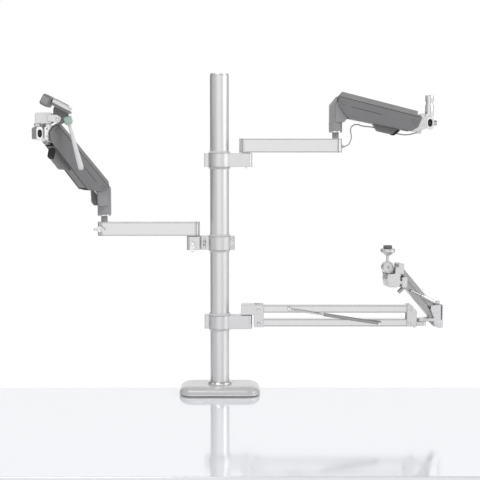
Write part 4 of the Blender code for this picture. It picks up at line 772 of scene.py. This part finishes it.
def makeBeamCaps(arm, sizes):
    bm = bmesh.new()
    seams = bmesh.new()
    spot = beamPlace(arm)
    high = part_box(arm + "_beam")[1].z - spot.translation.z
    around = [(x - high / 2, y) for x, y in roundedBox(high / 2 + sizes["seamUp"],
                                                       sizes["half"] + sizes["seamOut"], sizes["seamRound"])]
    for start, length, out in ((-sizes["tail"], sizes["tailLength"], -1),
                               (sizes["end"], sizes["endLength"], 1)):
        prism(bm, capOutline(sizes, start, length + sizes["inside"], out), -sizes["under"],
              high + sizes["proud"], spot)
        edge = start - out * length
        prism(seams, around, edge - sizes["seam"] / 2, edge + sizes["seam"] / 2,
              spot @ Matrix.Rotation(pi / 2, 4, "Y"))
    addPiece(arm + "BeamCaps", bm, "satin", arm + "_beam_body", ease=sizes["ease"])
    addPiece(arm + "BeamSeams", seams, "strut", arm + "_beam_body")


# Dark strips along the top and bottom of both faces of the extrusions: painted shade of their fine step
stepShadeSizes = {"inset": 1.45 * mm, "half": 0.5 * mm, "end": 3 * mm, "proud": 0.05 * mm, "deep": 0.4 * mm}


def makeStepShadeLines(name, bar, body, sizes, floor=None):
    low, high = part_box(bar)
    low.z = floor or low.z
    start, end = low.x + sizes["end"], high.x - sizes["end"]
    bm = bmesh.new()
    for y, inwards in ((low.y, 1), (high.y, -1)):
        near, far = sorted((-y + inwards * sizes["proud"], -y - inwards * sizes["deep"]))
        for z in (low.z + sizes["inset"], high.z - sizes["inset"]):
            under, over = z - sizes["half"], z + sizes["half"]
            prism(bm, [(start, under), (end, under), (end, over), (start, over)], near, far, onSide)
    # The strips' dark finish is painted shade of the step
    addPiece(name, bm, "strut", body)


# Gas arms, in the arm's x and z: pivot caps, a skirt under each side, and on the sides dark strips, painted
# shade in their fine grooves and along the edge of the top bevel
armSizes = {
    "half": 18 * mm, "length": 135 * mm, "pivot": (5.2 * mm, 1.1 * mm), "pivotDeep": 0.3 * mm,
    "groove": (17 * mm, 74 * mm), "grooveZ": -4.5 * mm, "grooveHalf": 0.4 * mm, "grooveTip": 1 * mm,
    "ridge": (-9.4 * mm, 142.4 * mm), "ridgeZ": 8.3 * mm, "ridgeTip": 1.5 * mm, "lineDeep": 0.5 * mm,
    "lineProud": 0.07 * mm, "skirtDeep": 2.3 * mm, "skirtFace": 0.02 * mm,
    "skirt": ((9.6, -20.2), (17.3, -26.1), (132, -20.6), (132, -20.2)), "skirtEase": 0.5 * mm,
}


def makeArmTrim(arm, sizes):
    spot = armPlace(arm)
    upright = spot @ onSide
    caps = bmesh.new()
    lines = bmesh.new()
    skirts = bmesh.new()
    half, tall = sizes["half"], sizes["grooveHalf"]
    start, end = sizes["groove"]
    middle, tip = sizes["grooveZ"], sizes["grooveTip"]
    groove = [(start, middle - tall), (end, middle - tall), (end + tip, middle), (end, middle + tall),
              (start, middle + tall), (start - tip, middle)]
    start, end = sizes["ridge"]
    middle = sizes["ridgeZ"]
    ridge = [(start, middle - tall), (end, middle - tall), (end - sizes["ridgeTip"], middle + tall),
             (start, middle + tall)]
    for side in (-1, 1):
        for x in (0, sizes["length"]):
            socketScrew(caps, spot @ along((0, side, 0), (x, side * (half - sizes["pivotDeep"]), 0)),
                        *sizes["pivot"])
        low, high = sorted((side * (half - sizes["lineDeep"]), side * (half + sizes["lineProud"])))
        # Dark rubber strips: painted shade in the groove and along the bevel's edge
        for outline in (groove, ridge):
            prism(lines, outline, -high, -low, upright)
        low, high = sorted((side * (half - sizes["skirtDeep"]), side * (half - sizes["skirtFace"])))
        prism(skirts, inMm(sizes["skirt"]), -high, -low, upright)
    addPiece(arm + "ShellSkirts", skirts, "casing", arm + "_arm_body", ease=sizes["skirtEase"])
    addPiece(arm + "PivotCaps", caps, "casing", arm + "_arm_body")
    addPiece(arm + "ShellGrooveShade", lines, "rubber", arm + "_arm_body")


# Dark plug in the cable cover's open end
plugSizes = {
    "outline": ((101, -35.4), (107, -34.9), (115.6, -23), (109.4, -23)), "half": 9.2 * mm,
    "ease": 0.4 * mm,
}


def makeCoverPlug(arm, sizes):
    bm = bmesh.new()
    prism(bm, inMm(sizes["outline"]), -sizes["half"], sizes["half"], armPlace(arm) @ onSide)
    addPiece(arm + "CoverPlug", bm, "rubber", arm + "_arm_body", ease=sizes["ease"])


# Risers: a pale clamp ring above the post and a screw at its back
riserSizes = {
    "ring": ((6.4, 10.9), (11.6, 10.9), (12.2, 11.5), (12.2, 13.2), (11, 14.2), (6.4, 14.2)),
    "screwSpot": (-11.7 * mm, 0, 26 * mm), "screw": (2.6 * mm, 0.8 * mm),
}


def makeRiserTrim(arm, sizes):
    spot = riserPlace(arm)
    bm = bmesh.new()
    lathe(bm, inMm(sizes["ring"]), spot, closed=True)
    addPiece(arm + "RiserRing", bm, "polished", arm + "_riser_body")
    screw = bmesh.new()
    socketScrew(screw, spot @ along((-1, 0, 0), sizes["screwSpot"]), *sizes["screw"])
    addPiece(arm + "RiserScrew", screw, "steel", arm + "_riser_body")


# Knuckles: two screws on each side
knuckleSizes = {
    "x": 17.5 * mm, "face": 13.2 * mm, "heights": (-9 * mm, 4.5 * mm), "screw": (2.2 * mm, 0.9 * mm),
}


def makeKnuckleTrim(arm, sizes):
    bm = bmesh.new()
    for z in sizes["heights"]:
        for side in (-1, 1):
            socketScrew(bm, headPlace(arm) @ along((0, side, 0), (sizes["x"], side * sizes["face"], z)),
                        *sizes["screw"])
    addPiece(arm + "KnuckleScrews", bm, "steel", arm + "_head")


# Sockets: a dark solid filling the bore, painted shade inside it, and a screw's end at each side of it
boreSizes = {
    "oval": (4.05 * mm, 7.05 * mm, 4 * mm), "half": 6.2 * mm, "screwAt": 5.9 * mm,
    "screw": (2.9 * mm, 1.4 * mm),
}


def makeBoreInsert(arm, sizes):
    spot = headPlace(arm)
    low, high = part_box(arm + "_socket")
    middle = spot.inverted() @ ((low + high) / 2)
    boreShade = bmesh.new()
    oval = [(middle.x + x, middle.z + z) for x, z in roundedBox(*sizes["oval"])]
    # The bore is filled dark: painted shade inside it
    prism(boreShade, oval, -sizes["half"], sizes["half"], spot @ onSide)
    addPiece(arm + "BoreShade", boreShade, "rubber", arm + "_head")
    screw = bmesh.new()
    for side in (-1, 1):
        end = (middle.x, side * sizes["screwAt"], middle.z)
        socketScrew(screw, spot @ along((0, side, 0), end), *sizes["screw"])
    addPiece(arm + "BoreScrew", screw, "dark", arm + "_head")


# The ribbed knob at the light's socket: (radius, height, ribs) in mm
socketKnobSizes = {
    "knob": ((0, 0.3), (4.1, 0.3), (4.6, 0.8, 0.3), (4.6, 6, 0.3), (4.1, 6.6), (2.4, 6.7), (0, 6.4)),
    "sides": 60, "shaft": ((0, -4), (2, -4), (2, 0.6), (0, 0.6)), "shaftSides": 24,
}


def makeSocketKnob(sizes):
    low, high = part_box("light_socket_knob")
    middle = (low + high) / 2
    spot = along((1, 0, 0), (spotOf("light_socket_knob_turn").x, middle.y, middle.z))
    bm = bmesh.new()
    lathe(bm, inMm(sizes["knob"]), spot, sizes["sides"])
    lathe(bm, inMm(sizes["shaft"]), spot, sizes["shaftSides"])
    addPiece("lightSocketKnob", bm, "steel", "socket_knob", replaced=("light_socket_knob",))


# The camera's handle: a pale green hub on its pin, and a white grip that swells towards its tip; its end is
# shares of the tip's radius, and how far before the end they lie
handleSizes = {
    "hub": ((0, -10.5), (6.6, -10.5), (7.5, -9.6), (7.5, -1), (6.9, 1.4), (5, 3.6), (3.4, 4.5), (0, 4.5)),
    "pin": ((0, -14), (2.5, -14), (2.5, -10), (0, -10)), "pinSides": 24, "length": 86 * mm,
    "from": 3.8 * mm, "neckEnd": 6 * mm, "tipStart": 6 * mm, "neck": 2.8 * mm, "throat": 0.95,
    "tip": 5.1 * mm, "swell": 1.25, "steps": 12,
    "end": ((0.93, 3 * mm), (0.7, 0.9 * mm), (0.35, 0.1 * mm), (0, 0)),
}


def makeHandle(sizes):
    spot = along(joints["camera_handle_turn"]["axis"], spotOf("camera_handle_turn"))
    hub = bmesh.new()
    lathe(hub, inMm(sizes["hub"]), spot)
    lathe(hub, inMm(sizes["pin"]), spot, sizes["pinSides"])
    addPiece("cameraHandleHub", hub, "paleGreen", "camera_grip")
    grip = bmesh.new()
    end, neck, tip = sizes["length"], sizes["neck"], sizes["tip"]
    straight = end - sizes["neckEnd"] - sizes["tipStart"]
    profile = [(0, sizes["from"]), (neck * sizes["throat"], sizes["from"])]
    for step in range(1, sizes["steps"] + 1):
        share = step / sizes["steps"]
        profile.append((neck + (tip - neck) * share ** sizes["swell"], sizes["neckEnd"] + straight * share))
    profile += [(tip * share, end - back) for share, back in sizes["end"]]
    lathe(grip, profile, spot)
    addPiece("cameraHandleGrip", grip, "handleWhite", "camera_grip", replaced=("camera_handle",))


# Camera head, in its own leaning frame: pads on the quick plate, the jaw's face and the tilt's screws
headSizes = {
    "lean": 28, "padSides": (-6 * mm, 6 * mm), "pad": (12.6 * mm, 4.4 * mm, 4.3 * mm), "padX": -7 * mm,
    "padFrom": 29 * mm, "padTo": 29.35 * mm, "padEase": 0.15 * mm,
    "jaw": ((-40.15, 12), (-26, 12), (-26, 26), (-40.15, 26)), "jawHalf": 15.04 * mm, "jawEase": 1.2 * mm,
    "screwFaces": (11.8 * mm, -9.8 * mm), "screw": (3.4 * mm, 0.9 * mm),
}


def makeHeadTrim(sizes):
    lean = radians(sizes["lean"])
    bed = framed(spotOf("camera_head_tilt"), (cos(lean), 0, -sin(lean)), (0, 1, 0))
    pads = bmesh.new()
    for middle in sizes["padSides"]:
        oval = [(x + sizes["padX"], y + middle) for x, y in roundedBox(*sizes["pad"])]
        prism(pads, oval, sizes["padFrom"], sizes["padTo"], bed)
    addPiece("cameraPads", pads, "rubber", "camera_plate", ease=sizes["padEase"])
    jaw = bmesh.new()
    prism(jaw, inMm(sizes["jaw"]), -sizes["jawHalf"], sizes["jawHalf"], bed @ onSide)
    addPiece("cameraJaw", jaw, "riserCasing", "camera_bed", ease=sizes["jawEase"])
    screws = bmesh.new()
    for face in sizes["screwFaces"]:
        socketScrew(screws, bed @ along((0, face, 0), (0, face, 0)), *sizes["screw"])
    addPiece("cameraTiltScrews", screws, "steel", "camera_bed")


# Microphone arm: pins in the bracket's and the elbow's cheeks
pinSizes = {"cheek": 11.4 * mm, "deep": 0.2 * mm, "pin": (3.5 * mm, 1.2 * mm)}


def makeMicPins(sizes):
    lower, upper, far = spotOf("mic_lower_lift"), spotOf("mic_lift"), spotOf("mic_elbow_level")
    for name, body, spots in (("micBracketPins", "mic_bracket_body", (lower, upper)),
                              ("micElbowPins", "mic_elbow_body", (far, far + upper - lower))):
        bm = bmesh.new()
        for side in (-1, 1):
            for spot in spots:
                face = spot + Vector((0, side * (sizes["cheek"] - sizes["deep"]), 0))
                socketScrew(bm, along((0, side, 0), face), *sizes["pin"])
        addPiece(name, bm, "steel", body)


# The ribbed thumbwheel under the microphone
wheelSizes = {
    "radius": 8 * mm, "chamfer": 0.9 * mm, "edge": 0.8 * mm, "ribs": 0.45 * mm, "hole": 3 * mm,
    "holeFloor": 2.8 * mm, "holeDeep": 0.5 * mm, "sides": 72,
}


def makeWheel(sizes):
    low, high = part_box("mic_thumbwheel")
    tall = high.z - low.z
    wheel, edge, ribs = sizes["radius"], sizes["edge"], sizes["ribs"]
    flat, floor = wheel - sizes["chamfer"], tall - sizes["holeDeep"]
    bm = bmesh.new()
    lathe(bm, [(0, 0), (flat, 0), (wheel, edge, ribs), (wheel, tall - edge, ribs), (flat, tall),
               (sizes["hole"], tall), (sizes["holeFloor"], floor), (0, floor)],
          Matrix.Translation(((low.x + high.x) / 2, (low.y + high.y) / 2, low.z)), sizes["sides"])
    addPiece("micThumbwheel", bm, "wheelGrey", "mic_wheel", replaced=("mic_thumbwheel",))


# The three-lobed knob of the tilt ring, with its neck and a dark disc behind it, painted shade of the recess
# there
lobedSizes = {
    "lobes": 3, "radius": 5.3 * mm, "wave": 1.15 * mm, "from": 3.4 * mm, "to": 10.4 * mm, "steps": 72,
    "neck": ((0, 1), (4.2, 1), (4.2, 3.6), (0, 3.6)), "neckSides": 32,
    "recessShade": ((0, 1.2), (6.9, 1.2), (6.9, 3.2), (0, 3.2)), "recessShadeSides": 40, "ease": 0.9 * mm,
}


def makeLobedKnob(sizes):
    knob = joints["mic_knob_turn"]
    spot = along(-Vector(knob["axis"]), Vector(knob["pos_m"]))
    outline = []
    for step in range(sizes["steps"]):
        angle = 2 * pi * step / sizes["steps"]
        reach = sizes["radius"] + sizes["wave"] * cos(sizes["lobes"] * (angle - pi / 2))
        outline.append((reach * cos(angle), reach * sin(angle)))
    bm = bmesh.new()
    prism(bm, outline, sizes["from"], sizes["to"], spot)
    lathe(bm, inMm(sizes["neck"]), spot, sizes["neckSides"])
    addPiece("micTiltKnob", bm, "polished", "mic_knob", ease=sizes["ease"], replaced=("mic_tilt_knob",))
    recessShade = bmesh.new()
    # Dark disc behind the knob: painted shade of the recess
    lathe(recessShade, inMm(sizes["recessShade"]), spot, sizes["recessShadeSides"])
    addPiece("micKnobRecessShade", recessShade, "rubber", "mic_knob")


# Struts: pins at the long one's ends, and the short one's wide tube
strutSizes = {
    "pinIn": 3.4 * mm, "pinUp": 3 * mm, "pin": (3.1 * mm, 1.2 * mm), "tube": 3.7 * mm, "neck": 2.6 * mm,
    "from": 5 * mm, "shoulder": 1.2 * mm, "longest": 0.94, "sides": 40,
}


def makeStruts(sizes):
    for name, end, node, body in (("micStrutPinFar", 1, "mic_strut_tube", "mic_lower"),
                                  ("micStrutPinNear", -1, "mic_strut_rod", "mic_strut")):
        low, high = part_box(node)
        near, far = (high, low) if end > 0 else (low, high)
        spot = (near.x - end * sizes["pinIn"], low.y, far.z + end * sizes["pinUp"])
        bm = bmesh.new()
        socketScrew(bm, along((0, -1, 0), spot), *sizes["pin"])
        addPiece(name, bm, "polished", body)
    low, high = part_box("mic_fore_strut_tube")
    start = spotOf("mic_fore_strut_swing")
    way = Vector(joints["mic_fore_strut_travel"]["axis"]).normalized()
    reach = ((low + high) / 2 - start).dot(way)
    length = min(2 * abs(reach), (high - low).length * sizes["longest"])
    tube, neck, first, shoulder = (sizes[label] for label in ("tube", "neck", "from", "shoulder"))
    bm = bmesh.new()
    lathe(bm, [(0, first), (neck, first), (tube, first + shoulder), (tube, length - shoulder),
               (neck, length), (0, length)], along(way if reach > 0 else -way, start), sizes["sides"])
    addPiece("micForeStrutTube", bm, "satin", "mic_fore_tube")


makeLead(leadSizes)
makePole(poleSizes)
makeBase(baseSizes, poleSizes)
for arm in ("light", "camera", "mic"):
    makeSleeve(arm, sleeveSizes, poleSizes)
    makeCollarScrews(arm, collarSizes)
makeSpigot(spigotSizes)
for arm in ("light", "camera"):
    makeWings(arm, wingSizes)
    makeBeamCaps(arm, capSizes)
    makeArmTrim(arm, armSizes)
    makeCoverPlug(arm, plugSizes)
    makeRiserTrim(arm, riserSizes)
    makeKnuckleTrim(arm, knuckleSizes)
    makeBoreInsert(arm, boreSizes)
for arm in ("light", "camera"):
    makeStepShadeLines(arm + "BeamStepShade", arm + "_beam", arm + "_beam_body", stepShadeSizes,
                  beamPlace(arm).translation.z)
makeStepShadeLines("micUpperStepShade", "mic_upper_bar", "mic_upper", stepShadeSizes)
makeStepShadeLines("micLowerStepShade", "mic_lower_bar", "mic_lower", stepShadeSizes)
makeSocketKnob(socketKnobSizes)
makeHandle(handleSizes)
makeHeadTrim(headSizes)
makeMicPins(pinSizes)
makeWheel(wheelSizes)
makeLobedKnob(lobedSizes)
makeStruts(strutSizes)

# Desk, backdrop and light
deskSizes = {
    "back": 38 * mm, "front": -0.485, "half": 2.2, "thick": 25 * mm, "edge": 2 * mm, "glow": 0.06,
    "rough": 0.09, "metal": 0.4, "glowColour": (0.97, 0.975, 1), "colour": (0.93, 0.935, 0.965),
    "light": (0.95, 0.955, 0.98),
}
lamps = {
    "key": {"spot": (-0.7, -1.3, 2.7), "aim": (0, 0, 0.35), "size": 1.4, "watts": 24},
    "fill": {"spot": (2.4, -0.9, 1.3), "aim": (0, 0, 0.35), "size": 1.2, "watts": 12},
}
# Grey cards round the set shade the round metal: from and to in degrees, 0 towards the front, 90 right
cards = {
    "cardLeft": {"from": -84, "to": -30, "grey": 0.60},
    "cardBackLeft": {"from": -150, "to": -90, "grey": 0.30},
    "cardRight": {"from": 22, "to": 50, "grey": 0.66},
    "cardBackRight": {"from": 108, "to": 150, "grey": 0.45},
}
cardSizes = {"radius": 2.6, "low": -0.6, "high": 2.6, "steps": 8}
overhead = {"half": 2.2, "shift": 0.2, "height": 2.9, "grey": 0.40}
worldLevel = {"seen": 1.0, "light": 0.50, "seenColour": (1, 1, 1), "lightColour": (0.97, 0.975, 1.0)}


def makeDesk(sizes):
    bm = bmesh.new()
    bmesh.ops.create_cube(bm, size=1)
    depth = sizes["back"] - sizes["front"]
    middle = Vector((0, (sizes["back"] + sizes["front"]) / 2, -sizes["thick"] / 2))
    size = Vector((2 * sizes["half"], depth, sizes["thick"]))
    bmesh.ops.transform(bm, matrix=Matrix.LocRotScale(middle, None, size), verts=bm.verts)
    bmesh.ops.bevel(bm, geom=bm.edges[:], offset=sizes["edge"], segments=3, affect="EDGES")
    material = bpy.data.materials.new("desk")
    material.use_nodes = True
    tree = material.node_tree
    shader = tree.nodes["Principled BSDF"]
    shader.inputs["Roughness"].default_value = sizes["rough"]
    shader.inputs["Metallic"].default_value = sizes["metal"]
    shader.inputs["Emission Color"].default_value = (*sizes["glowColour"], 1)
    path = node(tree, "LightPath")
    seen = node(tree, "Math", operation="MULTIPLY")
    seen.inputs[1].default_value = sizes["glow"]
    link(tree, path.outputs["Is Camera Ray"], seen.inputs[0])
    link(tree, seen.outputs["Value"], shader.inputs["Emission Strength"])
    mottle = node(tree, "Group", node_tree=dustAndTopLight)
    tone = mixed(tree, mottle.outputs["Smudge"], sizes["colour"], sizes["light"])
    link(tree, tone, shader.inputs["Base Color"])
    show("deskTop", meshFrom(bm), material)


def addLamp(name, lamp):
    light = bpy.data.lights.new(name, "AREA")
    light.shape = "SQUARE"
    light.size = lamp["size"]
    light.energy = lamp["watts"]
    holder = bpy.data.objects.new(name, light)
    spot = Vector(lamp["spot"])
    holder.location = spot
    holder.rotation_euler = (Vector(lamp["aim"]) - spot).to_track_quat("-Z", "Y").to_euler()
    bpy.context.scene.collection.objects.link(holder)


def showCard(name, bm, grey):
    # Seen in gloss alone, at its own level
    material = bpy.data.materials.new(name)
    material.use_nodes = True
    shader = material.node_tree.nodes["Principled BSDF"]
    shader.inputs["Base Color"].default_value = (0, 0, 0, 1)
    shader.inputs["Specular IOR Level"].default_value = 0
    shader.inputs["Emission Color"].default_value = (grey, grey, grey, 1)
    shader.inputs["Emission Strength"].default_value = 1
    sheet = show(name, meshFrom(bm), material)
    for kind in ("camera", "diffuse", "shadow"):
        setattr(sheet, "visible_" + kind, False)


def addCard(name, card, sizes):
    bm = bmesh.new()
    rows = []
    for step in range(sizes["steps"] + 1):
        angle = radians(card["from"] + (card["to"] - card["from"]) * step / sizes["steps"])
        spot = Vector((sin(angle), -cos(angle), 0)) * sizes["radius"]
        rows.append([bm.verts.new(spot + Vector((0, 0, height))) for height in (sizes["low"], sizes["high"])])
    for first, second in zip(rows, rows[1:]):
        bm.faces.new((first[0], second[0], second[1], first[1]))
    showCard(name, bm, card["grey"])


def addOverhead(sizes):
    bm = bmesh.new()
    corners = [(x * sizes["half"], y * sizes["half"] + sizes["shift"], sizes["height"])
               for x, y in ((-1, -1), (1, -1), (1, 1), (-1, 1))]
    bm.faces.new([bm.verts.new(corner) for corner in corners])
    showCard("overhead", bm, sizes["grey"])


def makeWorld(level):
    world = bpy.data.worlds.new("studio")
    world.use_nodes = True
    bpy.context.scene.world = world
    tree = world.node_tree
    back = tree.nodes["Background"]
    back.inputs["Color"].default_value = (*level["lightColour"], 1)
    back.inputs["Strength"].default_value = level["light"]
    seen = node(tree, "Background")
    seen.inputs["Color"].default_value = (*level["seenColour"], 1)
    seen.inputs["Strength"].default_value = level["seen"]
    path = node(tree, "LightPath")
    glossy = node(tree, "Math", operation="MAXIMUM")
    link(tree, path.outputs["Is Camera Ray"], glossy.inputs[0])
    link(tree, path.outputs["Is Glossy Ray"], glossy.inputs[1])
    clear = node(tree, "Math", operation="MAXIMUM")
    link(tree, glossy.outputs["Value"], clear.inputs[0])
    link(tree, path.outputs["Is Transmission Ray"], clear.inputs[1])
    mix = node(tree, "MixShader")
    link(tree, clear.outputs["Value"], mix.inputs["Fac"])
    link(tree, back.outputs["Background"], mix.inputs[1])
    link(tree, seen.outputs["Background"], mix.inputs[2])
    link(tree, mix.outputs["Shader"], tree.nodes["World Output"].inputs["Surface"])


makeDesk(deskSizes)
for name, lamp in lamps.items():
    addLamp(name, lamp)
for name, card in cards.items():
    addCard(name, card, cardSizes)
addOverhead(overhead)
makeWorld(worldLevel)
bpy.context.scene.view_settings.view_transform = "Standard"
print("desk and light placed")
